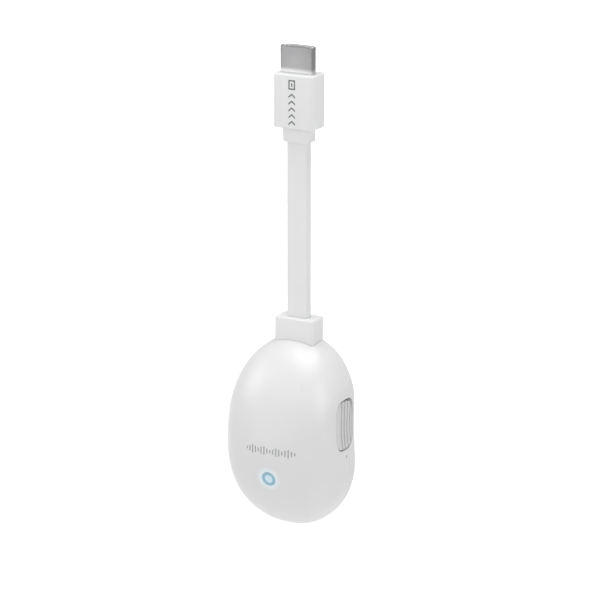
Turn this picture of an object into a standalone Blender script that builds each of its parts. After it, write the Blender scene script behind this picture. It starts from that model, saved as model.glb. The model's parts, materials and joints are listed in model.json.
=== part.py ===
"""Wireless media receiver: a video plug, a flat cable and an egg-shaped receiver that hangs from it.

The origin is the centre of the metal plug where it leaves its grip. +Z is the way the plug points,
-Y is the front with the light ring and +X is the side with the button. All sizes are in metres.
"""
import bpy
import bmesh
from math import copysign, cos, pi, sin, sqrt
from mathutils import Matrix, Vector

MM = 0.001
GAP = 0.3 * MM                      # clearance between pieces that meet

# Video plug
PLUG_WIDTH = 13.9 * MM
PLUG_THICKNESS = 4.45 * MM
PLUG_NARROW_WIDTH = 10.4 * MM       # width of the rear face, between the two chamfers
PLUG_SIDE_HEIGHT = 2.6 * MM         # straight part of each side, before its chamfer
PLUG_TIP = 10.2 * MM
PLUG_BACK = -7.8 * MM
PLUG_WALL = 0.4 * MM
LINER_TIP = 9.4 * MM
LINER_BACK = -5.0 * MM
SLOT_SIZE = (11.2 * MM, 1.5 * MM)
SLOT_FLOOR = 1.5 * MM
CONTACT_PITCH = 1.0 * MM
CHANNEL_WIDTH = 0.6 * MM
CHANNEL_DEPTH = 1.3 * MM            # from the slot's middle plane
CONTACT_WIDTH = 0.36 * MM

# Grip, strain relief and cable
GRIP_SIZE = (17.6 * MM, 10.3 * MM)
GRIP_CORNER = 2.0 * MM
GRIP_HEIGHT = 21.0 * MM
GRIP_EDGE = 0.5 * MM
RELIEF_SIZE = (11.3 * MM, 7.2 * MM)
RELIEF_CORNER = 0.8 * MM
RELIEF_TAPER = 0.2 * MM
RELIEF_HEIGHT = 5.3 * MM
TENON_SIZE = (10.4 * MM, 5.8 * MM)
TENON_HEIGHT = 4.3 * MM
CABLE_SIZE = (8.6 * MM, 4.0 * MM)
CABLE_CORNER = 0.5 * MM
CABLE_FREE = 69.1 * MM
CABLE_BITE = 3.0 * MM               # how far the cable runs on inside each collar
LEAD_SIZE = (7.4 * MM, 1.2 * MM)
COLLAR_SIZE = (17.0 * MM, 9.5 * MM)
COLLAR_CORNER = 1.2 * MM

RELIEF_TOP = -GRIP_HEIGHT - GAP
RELIEF_BOTTOM = RELIEF_TOP - RELIEF_HEIGHT
COLLAR_TOP = RELIEF_BOTTOM - CABLE_FREE
COLLAR_BOTTOM = COLLAR_TOP - 15.8 * MM
FLANGE_THICKNESS = 2.0 * MM

# Egg-shaped body. Its half width, front depth and rear depth each have a size at the widest level,
# and exponents for how full they stay above and below it. Its middle line is bowed to the front.
EGG_TOP = COLLAR_TOP - 7.3 * MM
EGG_BOTTOM = EGG_TOP - 75.7 * MM
EGG_WIDEST = EGG_TOP - 39.0 * MM
EGG_WIDTH = {"size": 25.1 * MM, "above": 2.7, "below": 2.9}
EGG_FRONT = {"size": 21.8 * MM, "above": 2.3, "below": 2.1}
EGG_REAR = {"size": 12.3 * MM, "above": 3.0, "below": 2.8}
EGG_TOP_Y = 1.2 * MM
EGG_MIDDLE_Y = -4.3 * MM
EGG_BOTTOM_Y = -2.0 * MM
TOP_BLUNTNESS = 1.95
BOTTOM_BLUNTNESS = 1.92
EGG_SQUARENESS = 2.42               # exponent of the level sections
EGG_LEVELS = 42
EGG_SEGMENTS = 48
CORE_Z = EGG_TOP - 34.0 * MM        # the level that the board and its parts are placed from
FRONT_WALL = 1.3 * MM
REAR_WALL = 2.4 * MM
LIP_INSET = FRONT_WALL + GAP
LIP_DEPTH = 1.0 * MM

# The seam between the two halves bows to the front, like the middle line
SEAM_TOP_Y = 2.2 * MM
SEAM_MIDDLE_Y = -4.0 * MM
SEAM_BOTTOM_Y = -0.5 * MM

# Hollow for the finger in the +X side, across the button
SCOOP_X = 23.6 * MM
SCOOP_RADIUS = 45.0 * MM
SCOOP_Z = CORE_Z + 2.0 * MM
SCOOP_BLEND = 3.0 * MM

# Side button and reset button
BUTTON_Y = (-12.0 * MM, 1.6 * MM)
BUTTON_Z = (CORE_Z - 7.5 * MM, CORE_Z + 12.3 * MM)
BUTTON_SQUARENESS = 3.4             # exponent of the outline
BUTTON_DROOP = 1.0 * MM             # how much its top falls towards the rear, below the opening
BUTTON_STEPS = 36
BUTTON_BACK = 19.2 * MM
BUTTON_INSET = 0.45 * MM
GROOVE_INSET = 1.1 * MM
GROOVE_COUNT = 4
GROOVE_FIRST_Y = -7.3 * MM
GROOVE_PITCH = 2.35 * MM
GROOVE_WIDTH = 1.0 * MM
SWITCH_Y = -6.2 * MM
SWITCH_Z = CORE_Z + 3.0 * MM
RESET_Y = -6.0 * MM
RESET_Z = CORE_Z - 10.2 * MM
RESET_HOLE_RADIUS = 0.5 * MM

# Light ring on the front
RING_Z = CORE_Z - 17.3 * MM
RING_RADIUS = 3.0 * MM
RING_INNER_RADIUS = 1.85 * MM
LENS_RADIUS = 1.55 * MM
PIPE_RADIUS = 1.7 * MM

# Circuit board
BOARD_FRONT = -3.0 * MM
BOARD_BACK = -1.8 * MM
BOARD_WIDTH = 36.4 * MM
BOARD_TOP = CORE_Z + 19.5 * MM
BOARD_BOTTOM = CORE_Z - 31.5 * MM
BOARD_CORNER = 12.0 * MM
BOARD_TAB = (12.0 * MM, 5.4 * MM)
PART_FRONT = BOARD_FRONT - GAP      # the plane that the front components stand on

# Power socket at the lower end
SOCKET_SIZE = (8.94 * MM, 3.2 * MM)
SOCKET_WALL = 0.3 * MM
SOCKET_Y = -5.0 * MM
SOCKET_LENGTH = 7.3 * MM
SOCKET_FACE_Z = EGG_BOTTOM + 1.7 * MM
SOCKET_FACE_SIZE = (12.0 * MM, 5.8 * MM)

# Board screws: x and height of each
SCREW_PLACES = (
    (-13.0 * MM, CORE_Z + 13.5 * MM),
    (13.0 * MM, CORE_Z + 13.5 * MM),
    (-12.0 * MM, CORE_Z - 27.0 * MM),
)
SCREW_RADIUS = 1.0 * MM
SCREW_HEAD_RADIUS = 1.9 * MM
SCREW_HOLE_RADIUS = 1.3 * MM
SCREW_END = 2.4 * MM
BOSS_RADIUS = 2.3 * MM

LONG = 60.0 * MM                    # a cutter's length where it only has to pass right through


def clear_scene():
    """Remove every object that the opened file holds."""
    for obj in list(bpy.data.objects):
        bpy.data.objects.remove(obj, do_unlink=True)


def make_material(name, colour, roughness, metallic=0.0):
    """A Principled material with a plain colour."""
    material = bpy.data.materials.new(name)
    material.use_nodes = True
    shader = material.node_tree.nodes["Principled BSDF"]
    shader.inputs["Base Color"].default_value = (*colour, 1.0)
    shader.inputs["Roughness"].default_value = roughness
    shader.inputs["Metallic"].default_value = metallic
    material.diffuse_color = (*colour, 1.0)
    return material


def add_object(name, bm, material=None):
    """Link a finished bmesh as an object, with its faces pointing out and its round sides smooth."""
    bmesh.ops.remove_doubles(bm, verts=bm.verts, dist=0.001 * MM)
    bmesh.ops.recalc_face_normals(bm, faces=bm.faces)
    mesh = bpy.data.meshes.new(name)
    bm.to_mesh(mesh)
    bm.free()
    mesh.shade_smooth()
    mesh.set_sharp_from_angle(angle=0.6)
    obj = bpy.data.objects.new(name, mesh)
    bpy.context.scene.collection.objects.link(obj)
    if material:
        mesh.materials.append(material)
    return obj


def combine(target, other, operation, solver="EXACT"):
    """Cut, join or trim target with another object, which then only guides it."""
    modifier = target.modifiers.new(other.name, "BOOLEAN")
    modifier.operation = operation
    modifier.object = other
    modifier.solver = solver
    other.hide_render = True
    other.display_type = "WIRE"


def rounded_rectangle(width, height, radius, centre=(0.0, 0.0), steps=4):
    """Corner points of a rounded rectangle, anticlockwise."""
    points = []
    for quarter, (side_u, side_v) in enumerate(((1, 1), (-1, 1), (-1, -1), (1, -1))):
        corner_u = centre[0] + side_u * (width / 2 - radius)
        corner_v = centre[1] + side_v * (height / 2 - radius)
        for step in range(steps + 1):
            angle = (quarter + step / steps) * pi / 2
            points.append((corner_u + radius * cos(angle), corner_v + radius * sin(angle)))
    return points


def circle(radius, centre=(0.0, 0.0), steps=24):
    """Points round a circle, anticlockwise."""
    angles = [2 * pi * step / steps for step in range(steps)]
    return [(centre[0] + radius * cos(a), centre[1] + radius * sin(a)) for a in angles]


def place(axis, u, v, along):
    """A point from two outline coordinates and the coordinate along the extrusion's axis."""
    return {"X": (along, u, v), "Y": (u, along, v), "Z": (u, v, along)}[axis]


def loft(bm, axis, sections):
    """Close a body through outlines of equal point count, each given as (outline, place along axis)."""
    rings = [[bm.verts.new(place(axis, u, v, along)) for u, v in outline] for outline, along in sections]
    bm.faces.new(rings[0])
    bm.faces.new(rings[-1])
    for lower, upper in zip(rings, rings[1:]):
        count = len(lower)
        for k in range(count):
            bm.faces.new((lower[k], lower[(k + 1) % count], upper[(k + 1) % count], upper[k]))
    return bm


def prism(name, axis, outline, start, end, material=None):
    """A straight extrusion of one outline."""
    return add_object(name, loft(bmesh.new(), axis, [(outline, start), (outline, end)]), material)


def prisms(name, axis, outlines, start, end, material=None):
    """Several straight extrusions in one object, for a cutter that makes several holes."""
    bm = bmesh.new()
    for outline in outlines:
        loft(bm, axis, [(outline, start), (outline, end)])
    return add_object(name, bm, material)


def block(name, low, high, material, radius=0.15 * MM):
    """An upright component body between two corners, its four edges along Y slightly rounded."""
    size = [b - a for a, b in zip(low, high)]
    centre = ((low[0] + high[0]) / 2, (low[2] + high[2]) / 2)
    outline = rounded_rectangle(size[0], size[2], radius, centre, steps=2)
    return prism(name, "Y", outline, low[1], high[1], material)


def corners(x, y, z):
    """The low and high corners of a box from its three spans in millimetres, heights from CORE_Z."""
    low = (x[0] * MM, y[0] * MM, CORE_Z + z[0] * MM)
    high = (x[1] * MM, y[1] * MM, CORE_Z + z[1] * MM)
    return low, high


def egg_reach(extent, z, inset):
    """How far the egg reaches at one level, for its width, its front or its rear."""
    if z > EGG_WIDEST:
        pole, exponent, bluntness = EGG_TOP - inset, extent["above"], TOP_BLUNTNESS
    else:
        pole, exponent, bluntness = EGG_BOTTOM + inset, extent["below"], BOTTOM_BLUNTNESS
    share = min((z - EGG_WIDEST) / (pole - EGG_WIDEST), 1.0)
    return (extent["size"] - inset) * (1.0 - share ** exponent) ** (1.0 / bluntness)


def bowed(top_y, middle_y, bottom_y, z):
    """The place in Y, at one level, of a parabola given by its top, its middle and its bottom."""
    rise = (2 * z - EGG_TOP - EGG_BOTTOM) / (EGG_TOP - EGG_BOTTOM)
    lean = (top_y - bottom_y) / 2
    bow = (top_y + bottom_y) / 2 - middle_y
    return middle_y + lean * rise + bow * rise ** 2


def egg_middle(z):
    """The place in Y of the egg's middle line at one level."""
    return bowed(EGG_TOP_Y, EGG_MIDDLE_Y, EGG_BOTTOM_Y, z)


def seam_y(z):
    """The place in Y of the seam at one level."""
    return bowed(SEAM_TOP_Y, SEAM_MIDDLE_Y, SEAM_BOTTOM_Y, z)


def scoop_limit(z):
    """How far out the +X side may reach at this height, beside the finger hollow."""
    rise = min(abs(z - SCOOP_Z), 0.9 * SCOOP_RADIUS)
    return SCOOP_X + SCOOP_RADIUS - sqrt(SCOOP_RADIUS ** 2 - rise ** 2)


def soft_minimum(a, b, width):
    """The smaller of two values, with a rounded change from one to the other."""
    overlap = max(width - abs(a - b), 0.0)
    return min(a, b) - overlap ** 2 / (4 * width)


def egg_ring(z, inset):
    """One level section of the egg, as a list of points."""
    half_width, front, rear = (egg_reach(extent, z, inset) for extent in (EGG_WIDTH, EGG_FRONT, EGG_REAR))
    power = 2.0 / EGG_SQUARENESS
    points = []
    for k in range(EGG_SEGMENTS):
        turn = 2 * pi * (k + 0.5) / EGG_SEGMENTS
        x = half_width * copysign(abs(cos(turn)) ** power, cos(turn))
        depth = rear if sin(turn) > 0 else front
        y = egg_middle(z) + depth * copysign(abs(sin(turn)) ** power, sin(turn))
        x = soft_minimum(x, scoop_limit(z) - inset, SCOOP_BLEND)
        points.append((x, y, z))
    return points


def egg_levels(inset):
    """The heights of the egg's level sections, from the top down."""
    middle = (EGG_TOP + EGG_BOTTOM) / 2
    half_height = (EGG_TOP - EGG_BOTTOM) / 2 - inset
    return [middle + half_height * cos(pi * k / EGG_LEVELS) for k in range(1, EGG_LEVELS)]


def egg_bmesh(inset):
    """The closed egg surface, drawn in by inset."""
    bm = bmesh.new()
    rings = [[bm.verts.new(point) for point in egg_ring(z, inset)] for z in egg_levels(inset)]
    for upper, lower in zip(rings, rings[1:]):
        for k in range(EGG_SEGMENTS):
            following = (k + 1) % EGG_SEGMENTS
            bm.faces.new((upper[k], lower[k], lower[following], upper[following]))
    poles = (
        (rings[0], (0.0, EGG_TOP_Y, EGG_TOP - inset)),
        (rings[-1], (0.0, EGG_BOTTOM_Y, EGG_BOTTOM + inset)),
    )
    for ring, point in poles:
        pole = bm.verts.new(point)
        for k in range(EGG_SEGMENTS):
            bm.faces.new((ring[k], ring[(k + 1) % EGG_SEGMENTS], pole))
    bmesh.ops.recalc_face_normals(bm, faces=bm.faces)
    return bm


def egg(name, inset):
    """The whole egg as a guide object."""
    return add_object(name, egg_bmesh(inset))


def egg_part(name, inset, offset, keep_front, material=None):
    """The egg on one side of the seam, moved in Y by offset, and closed where it is cut.

    The egg is straightened along the seam, cut by a plane, and bowed again."""
    bm = egg_bmesh(inset)
    for vert in bm.verts:
        vert.co.y -= seam_y(vert.co.z) + offset
    everything = bm.verts[:] + bm.edges[:] + bm.faces[:]
    outward = (0.0, 1.0, 0.0) if keep_front else (0.0, -1.0, 0.0)
    result = bmesh.ops.bisect_plane(
        bm, geom=everything, plane_co=(0.0, 0.0, 0.0), plane_no=outward, clear_outer=True
    )
    rim = [item for item in result["geom_cut"] if isinstance(item, bmesh.types.BMEdge)]
    cap = bmesh.ops.edgeloop_fill(bm, edges=rim)["faces"]
    for z in egg_levels(inset):
        strips = set(cap)
        for face in cap:
            strips.update(face.edges)
            strips.update(face.verts)
        result = bmesh.ops.bisect_plane(
            bm, geom=list(strips), dist=1e-7, plane_co=(0.0, 0.0, z), plane_no=(0.0, 0.0, 1.0)
        )
        cap = [item for item in result["geom"] if isinstance(item, bmesh.types.BMFace)]
    for vert in bm.verts:
        vert.co.y += seam_y(vert.co.z) + offset
    return add_object(name, bm, material)


def turned(name, profile, centre, axis, material=None, steps=24):
    """A solid of revolution. The profile lists (radius, place along axis) from one end to the other."""
    bm = bmesh.new()
    sections = []
    for radius, along in profile:
        sections.append((circle(radius, centre, steps), along))
    return add_object(name, loft(bm, axis, sections), material)


def plug_outline(shrink):
    """The plug's outline: a rectangle whose two rear corners are cut off, drawn in by shrink."""
    half = PLUG_WIDTH / 2 - shrink
    half_thickness = PLUG_THICKNESS / 2 - shrink
    narrow = PLUG_NARROW_WIDTH / 2 - shrink * 0.6
    shoulder = -PLUG_THICKNESS / 2 + PLUG_SIDE_HEIGHT - shrink * 0.2
    radius = max(0.5 * MM - shrink * 0.5, 0.1 * MM)
    points = []
    for step in range(4):
        angle = -pi / 2 + step * pi / 6
        points.append((half - radius + radius * cos(angle), -half_thickness + radius + radius * sin(angle)))
    points += [(half, shoulder), (narrow, half_thickness), (-narrow, half_thickness), (-half, shoulder)]
    for step in range(4):
        angle = pi + step * pi / 6
        points.append((-half + radius + radius * cos(angle), -half_thickness + radius + radius * sin(angle)))
    return points


def make_plug(materials):
    """The metal shell, its liner with the contact channels, the contacts and the small card."""
    shell = prism("plug_shell", "Z", plug_outline(0.0), PLUG_BACK, PLUG_TIP, materials["plug_metal"])
    bore = prism("plug_bore", "Z", plug_outline(PLUG_WALL), -LONG, LONG)
    combine(shell, bore, "DIFFERENCE")
    windows = [rounded_rectangle(2.0 * MM, 2.2 * MM, 0.3 * MM, (x, 5.2 * MM)) for x in (-3.0 * MM, 3.0 * MM)]
    latch_windows = prisms("latch_windows", "Y", windows, 0.5 * MM, LONG)
    combine(shell, latch_windows, "DIFFERENCE")

    liner_outline = plug_outline(PLUG_WALL + GAP / 2)
    liner = prism("plug_insulator", "Z", liner_outline, LINER_BACK, LINER_TIP, materials["liner"])
    slot = prism("tongue_slot", "Z", rounded_rectangle(*SLOT_SIZE, 0.3 * MM), SLOT_FLOOR, LONG)
    combine(liner, slot, "DIFFERENCE")

    places = []
    for row, count in ((-1, 10), (1, 9)):
        for k in range(count):
            places.append((row, (k - (count - 1) / 2) * CONTACT_PITCH))
    slot_edge = SLOT_SIZE[1] / 2
    channel_middle = (slot_edge - 0.2 * MM + CHANNEL_DEPTH) / 2
    channel_height = CHANNEL_DEPTH - slot_edge + 0.2 * MM
    channels = []
    for row, x in places:
        channels.append(rounded_rectangle(CHANNEL_WIDTH, channel_height, 0.1 * MM, (x, row * channel_middle), 1))
    combine(liner, prisms("contact_channels", "Z", channels, -LONG, LONG), "DIFFERENCE")

    for number, (row, x) in enumerate(places, start=1):
        inner = row * (slot_edge - 0.1 * MM)
        outer = row * (slot_edge + 0.25 * MM)
        blade = [(inner, -10.0 * MM), (inner, 7.4 * MM), (outer, 8.9 * MM), (outer, -10.0 * MM)]
        sections = [(blade, x - CONTACT_WIDTH / 2), (blade, x + CONTACT_WIDTH / 2)]
        add_object(f"plug_contact_{number:02d}", loft(bmesh.new(), "X", sections), materials["contact"])

    card = rounded_rectangle(12.2 * MM, 8.2 * MM, 0.4 * MM, (0.0, -11.4 * MM))
    prism("plug_card", "Y", card, -0.4 * MM, 0.4 * MM, materials["board"])


def make_grip(materials):
    """The moulded grip round the plug's back end, and the strain relief whose tenon sits in it."""
    inner = GRIP_EDGE
    outline = rounded_rectangle(*GRIP_SIZE, GRIP_CORNER, steps=6)
    small = rounded_rectangle(GRIP_SIZE[0] - 2 * inner, GRIP_SIZE[1] - 2 * inner, GRIP_CORNER - inner, steps=6)
    sections = [(small, 0.0), (outline, -inner), (outline, -GRIP_HEIGHT + inner), (small, -GRIP_HEIGHT)]
    grip = add_object("plug_overmold", loft(bmesh.new(), "Z", sections), materials["white_soft"])
    pocket = prism("grip_pocket", "Z", plug_outline(-GAP), RELIEF_TOP + TENON_HEIGHT - GAP, LONG)
    combine(grip, pocket, "DIFFERENCE")
    tenon_hole = rounded_rectangle(TENON_SIZE[0] + 2 * GAP, TENON_SIZE[1] + 2 * GAP, 1.3 * MM)
    tenon_top = RELIEF_TOP + TENON_HEIGHT
    combine(grip, prism("tenon_hole", "Z", tenon_hole, -LONG, tenon_top + GAP), "DIFFERENCE")

    tenon = rounded_rectangle(*TENON_SIZE, 1.0 * MM)
    wide = rounded_rectangle(*RELIEF_SIZE, RELIEF_CORNER)
    narrow = rounded_rectangle(RELIEF_SIZE[0] - RELIEF_TAPER, RELIEF_SIZE[1] - RELIEF_TAPER, RELIEF_CORNER)
    sections = [(tenon, tenon_top), (tenon, RELIEF_TOP), (wide, RELIEF_TOP), (narrow, RELIEF_BOTTOM)]
    relief = add_object("strain_relief", loft(bmesh.new(), "Z", sections), materials["white_soft"])
    combine(relief, cable_passage("relief_passage"), "DIFFERENCE")

    leads = rounded_rectangle(*LEAD_SIZE, 0.3 * MM, steps=2)
    lead_end = RELIEF_BOTTOM + CABLE_BITE + GAP
    prism("plug_leads", "Z", leads, lead_end, -15.8 * MM, materials["lead"])


def cable_passage(name):
    """The hole that lets the cable through a collar, with a clearance all round."""
    size = [side + 2 * GAP for side in CABLE_SIZE]
    return prism(name, "Z", rounded_rectangle(*size, CABLE_CORNER + GAP), -4 * LONG, LONG)


def make_cable(materials):
    """The flat cable, straight down between the two collars, and its leads inside the body."""
    outline = rounded_rectangle(*CABLE_SIZE, CABLE_CORNER, steps=3)
    top = RELIEF_BOTTOM + CABLE_BITE
    bottom = COLLAR_TOP - CABLE_BITE
    steps = 24
    sections = [(outline, top + (bottom - top) * k / steps) for k in range(steps + 1)]
    add_object("flat_cable", loft(bmesh.new(), "Z", sections), materials["cable"])

    leads = rounded_rectangle(*LEAD_SIZE, 0.3 * MM, steps=2)
    prism("receiver_leads", "Z", leads, BOARD_TOP - 0.7 * MM, bottom - GAP, materials["lead"])


def make_collar(materials):
    """The collar that holds the cable in the body. Its flange is caught inside."""
    outline = rounded_rectangle(*COLLAR_SIZE, COLLAR_CORNER)
    edge = 0.3 * MM
    small = rounded_rectangle(COLLAR_SIZE[0] - 2 * edge, COLLAR_SIZE[1] - 2 * edge, COLLAR_CORNER - edge)
    sections = [(small, COLLAR_TOP), (outline, COLLAR_TOP - edge), (outline, COLLAR_BOTTOM)]
    collar = add_object("cable_collar", loft(bmesh.new(), "Z", sections), materials["white_soft"])
    flange_outline = rounded_rectangle(22.0 * MM, 9.5 * MM, 1.5 * MM, (0.0, -2.25 * MM))
    flange_top = COLLAR_BOTTOM + 0.5 * MM
    flange = prism("collar_flange", "Z", flange_outline, flange_top - FLANGE_THICKNESS, flange_top)
    combine(collar, flange, "UNION")
    combine(collar, cable_passage("collar_passage"), "DIFFERENCE")


def collar_opening(name):
    """The hole in the body's top that the collar passes through."""
    size = [side + 2 * GAP for side in COLLAR_SIZE]
    outline = rounded_rectangle(*size, COLLAR_CORNER + GAP)
    return prism(name, "Z", outline, COLLAR_BOTTOM, LONG)


def make_front_shell(materials):
    """The front half: openings for the button, the reset pin, the light ring and the power socket."""
    shell = egg_part("front_shell", 0.0, -GAP / 2, True, materials["white_gloss"])
    combine(shell, egg("front_cavity", FRONT_WALL), "DIFFERENCE")

    pad_outline = rounded_rectangle(13.6 * MM, 6.0 * MM, 1.0 * MM, (0.0, SOCKET_Y - 0.5 * MM))
    pad = prism("socket_pad", "Z", pad_outline, EGG_BOTTOM - 1.0 * MM, EGG_BOTTOM + 4.3 * MM)
    combine(pad, egg("pad_limit", 0.3 * MM), "INTERSECT")
    combine(shell, pad, "UNION")
    face_outline = rounded_rectangle(*SOCKET_FACE_SIZE, 2.0 * MM, (0.0, SOCKET_Y))
    combine(shell, prism("socket_face", "Z", face_outline, EGG_BOTTOM - LONG, SOCKET_FACE_Z), "DIFFERENCE")
    hole_size = [side + 2 * GAP for side in SOCKET_SIZE]
    hole_outline = rounded_rectangle(*hole_size, hole_size[1] / 2 - 0.01 * MM, (0.0, SOCKET_Y), 5)
    socket_hole = prism("socket_hole", "Z", hole_outline, EGG_BOTTOM - LONG, EGG_BOTTOM + 6.0 * MM)
    combine(shell, socket_hole, "DIFFERENCE")

    combine(shell, button_opening("front_button_opening"), "DIFFERENCE")
    reset_outline = circle(RESET_HOLE_RADIUS, (RESET_Y, RESET_Z), 12)
    combine(shell, prism("reset_hole", "X", reset_outline, 14.0 * MM, LONG), "DIFFERENCE")
    ring_outline = circle(RING_RADIUS + GAP, (0.0, RING_Z), 32)
    combine(shell, prism("ring_hole", "Y", ring_outline, -LONG, -15.0 * MM), "DIFFERENCE")
    combine(shell, collar_opening("front_collar_opening"), "DIFFERENCE")


def make_rear_shell(materials):
    """The rear half, with the lip that locates it in the front half and three screw bosses."""
    shell = egg_part("rear_shell", 0.0, GAP / 2, False, materials["white_gloss"])
    combine(shell, egg_part("locating_lip", LIP_INSET, -LIP_DEPTH, False), "UNION")
    combine(shell, egg("rear_cavity", REAR_WALL), "DIFFERENCE")
    bosses = prisms("screw_bosses", "Y", [circle(BOSS_RADIUS, p, 20) for p in SCREW_PLACES],
                    BOARD_BACK + GAP, 12.0 * MM)
    combine(bosses, egg("boss_limit", LIP_INSET), "INTERSECT")
    combine(shell, bosses, "UNION")
    holes = [circle(SCREW_HOLE_RADIUS, p, 16) for p in SCREW_PLACES]
    combine(shell, prisms("boss_holes", "Y", holes, -LONG, SCREW_END + 0.4 * MM), "DIFFERENCE")
    combine(shell, collar_opening("rear_collar_opening"), "DIFFERENCE")
    combine(shell, button_opening("rear_button_opening"), "DIFFERENCE")


def button_outline(grow, droop=0.0):
    """The side button's outline in Y and Z, grown by a clearance, its top lowered towards the rear."""
    power = 2.0 / BUTTON_SQUARENESS
    half_y = (BUTTON_Y[1] - BUTTON_Y[0]) / 2 + grow
    half_z = (BUTTON_Z[1] - BUTTON_Z[0]) / 2 + grow
    points = []
    for k in range(BUTTON_STEPS):
        turn = 2 * pi * (k + 0.5) / BUTTON_STEPS
        across = copysign(abs(cos(turn)) ** power, cos(turn))
        up = copysign(abs(sin(turn)) ** power, sin(turn))
        fall = droop * (1 + across) / 2 * max(up, 0.0)
        points.append((sum(BUTTON_Y) / 2 + half_y * across, sum(BUTTON_Z) / 2 + half_z * up - fall))
    return points


def button_ends(y):
    """The lowest and the highest place of the button at one place in Y."""
    across = (2 * y - BUTTON_Y[0] - BUTTON_Y[1]) / (BUTTON_Y[1] - BUTTON_Y[0])
    up = (1 - abs(across) ** BUTTON_SQUARENESS) ** (1 / BUTTON_SQUARENESS)
    middle = sum(BUTTON_Z) / 2
    reach = (BUTTON_Z[1] - BUTTON_Z[0]) / 2 * up
    return middle - reach, middle + reach - BUTTON_DROOP * (1 + across) / 2 * up


def button_opening(name):
    """The hole in the body's side that the button sits in. The seam runs across it."""
    return prism(name, "X", button_outline(GAP), 14.0 * MM, LONG)


def add_axis_empty(name, place_on_axis, child):
    """An empty on a moving piece's joint axis, with the piece as its child."""
    empty = bpy.data.objects.new(name, None)
    bpy.context.scene.collection.objects.link(empty)
    empty.location = place_on_axis
    child.parent = empty
    child.matrix_parent_inverse = Matrix.Translation(-Vector(place_on_axis))
    return empty


def make_side_button(materials):
    """The ribbed button, flush with the finger hollow, and the switch that it presses."""
    outline = button_outline(0.0, BUTTON_DROOP)
    button = prism("side_button", "X", outline, BUTTON_BACK, LONG, materials["white_button"])
    combine(button, egg("button_limit", BUTTON_INSET), "INTERSECT")
    span_z = BUTTON_Z[1] - BUTTON_Z[0]
    middle_z = sum(BUTTON_Z) / 2
    grooves = []
    for k in range(GROOVE_COUNT):
        y = GROOVE_FIRST_Y + k * GROOVE_PITCH
        low, high = button_ends(y)
        centre = (y, (low + high) / 2)
        grooves.append(rounded_rectangle(GROOVE_WIDTH, high - low - 1.6 * MM, 0.45 * MM, centre, 3))
    groove_cutter = prisms("button_grooves", "X", grooves, 15.0 * MM, LONG)
    combine(groove_cutter, egg("groove_floor", GROOVE_INSET), "DIFFERENCE")
    combine(button, groove_cutter, "DIFFERENCE", "MANIFOLD")
    flange_height = span_z + 2.2 * MM
    flange_outline = rounded_rectangle(9.0 * MM, flange_height, 1.5 * MM, (-5.6 * MM, middle_z))
    flange = prism("button_flange", "X", flange_outline, BUTTON_BACK + 0.1 * MM, BUTTON_BACK + 0.8 * MM)
    combine(button, flange, "UNION", "MANIFOLD")
    add_axis_empty("side_button_axis", (BUTTON_BACK, SWITCH_Y, SWITCH_Z), button)

    low, high = corners((13.3, 17.6), (-9.1, -3.3), (0.4, 5.6))
    body = block("side_switch_body", low, high, materials["black_plastic"])
    well = prism("side_switch_well", "X", circle(1.6 * MM, (SWITCH_Y, SWITCH_Z), 20), 16.2 * MM, LONG)
    combine(body, well, "DIFFERENCE")
    stem_outline = circle(1.3 * MM, (SWITCH_Y, SWITCH_Z), 20)
    stem = prism("side_switch_stem", "X", stem_outline, 17.0 * MM, BUTTON_BACK - GAP, materials["stem"])
    add_axis_empty("side_switch_axis", (BUTTON_BACK, SWITCH_Y, SWITCH_Z), stem)


def make_reset_switch(materials):
    """The small switch behind the pin hole."""
    low, high = corners((14.2, 18.0), (-8.3, -3.3), (-12.5, -7.9))
    body = block("reset_switch_body", low, high, materials["black_plastic"])
    centre = (RESET_Y, RESET_Z)
    combine(body, prism("reset_well", "X", circle(1.0 * MM, centre, 16), 16.6 * MM, LONG), "DIFFERENCE")
    stem = prism("reset_stem", "X", circle(0.7 * MM, centre, 16), 17.4 * MM, 20.8 * MM, materials["stem"])
    add_axis_empty("reset_axis", (20.8 * MM, *centre), stem)


def make_light(materials):
    """The lit ring and its centre lens, flush with the front, with the pipe and the lamp behind."""
    centre = (0.0, RING_Z)
    ring_back = -19.7 * MM
    flange_front = -20.7 * MM
    profile = [
        (4.0 * MM, ring_back),
        (4.0 * MM, flange_front),
        (RING_RADIUS, flange_front),
        (RING_RADIUS, -26.0 * MM),
    ]
    ring = turned("light_ring", profile, centre, "Y", materials["ring"], 32)
    bore = prism("ring_bore", "Y", circle(RING_INNER_RADIUS, centre, 32), -LONG, 0.0)
    combine(ring, bore, "DIFFERENCE")
    combine(ring, egg("ring_limit", 0.08 * MM), "INTERSECT")
    lens = prism("ring_lens", "Y", circle(LENS_RADIUS, centre, 28), -26.0 * MM, -20.8 * MM, materials["lens"])
    combine(lens, egg("lens_limit", 0.12 * MM), "INTERSECT")

    profile = [
        (1.2 * MM, -5.0 * MM),
        (PIPE_RADIUS, -7.0 * MM),
        (PIPE_RADIUS, -18.8 * MM),
        (1.5 * MM, -19.4 * MM),
        (1.5 * MM, -20.5 * MM),
    ]
    turned("light_pipe", profile, centre, "Y", materials["clear"], 20)
    low, high = corners((-1.6, 1.6), (-4.6, -3.3), (-18.8, -15.8))
    block("status_led", low, high, materials["lamp"])


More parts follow.
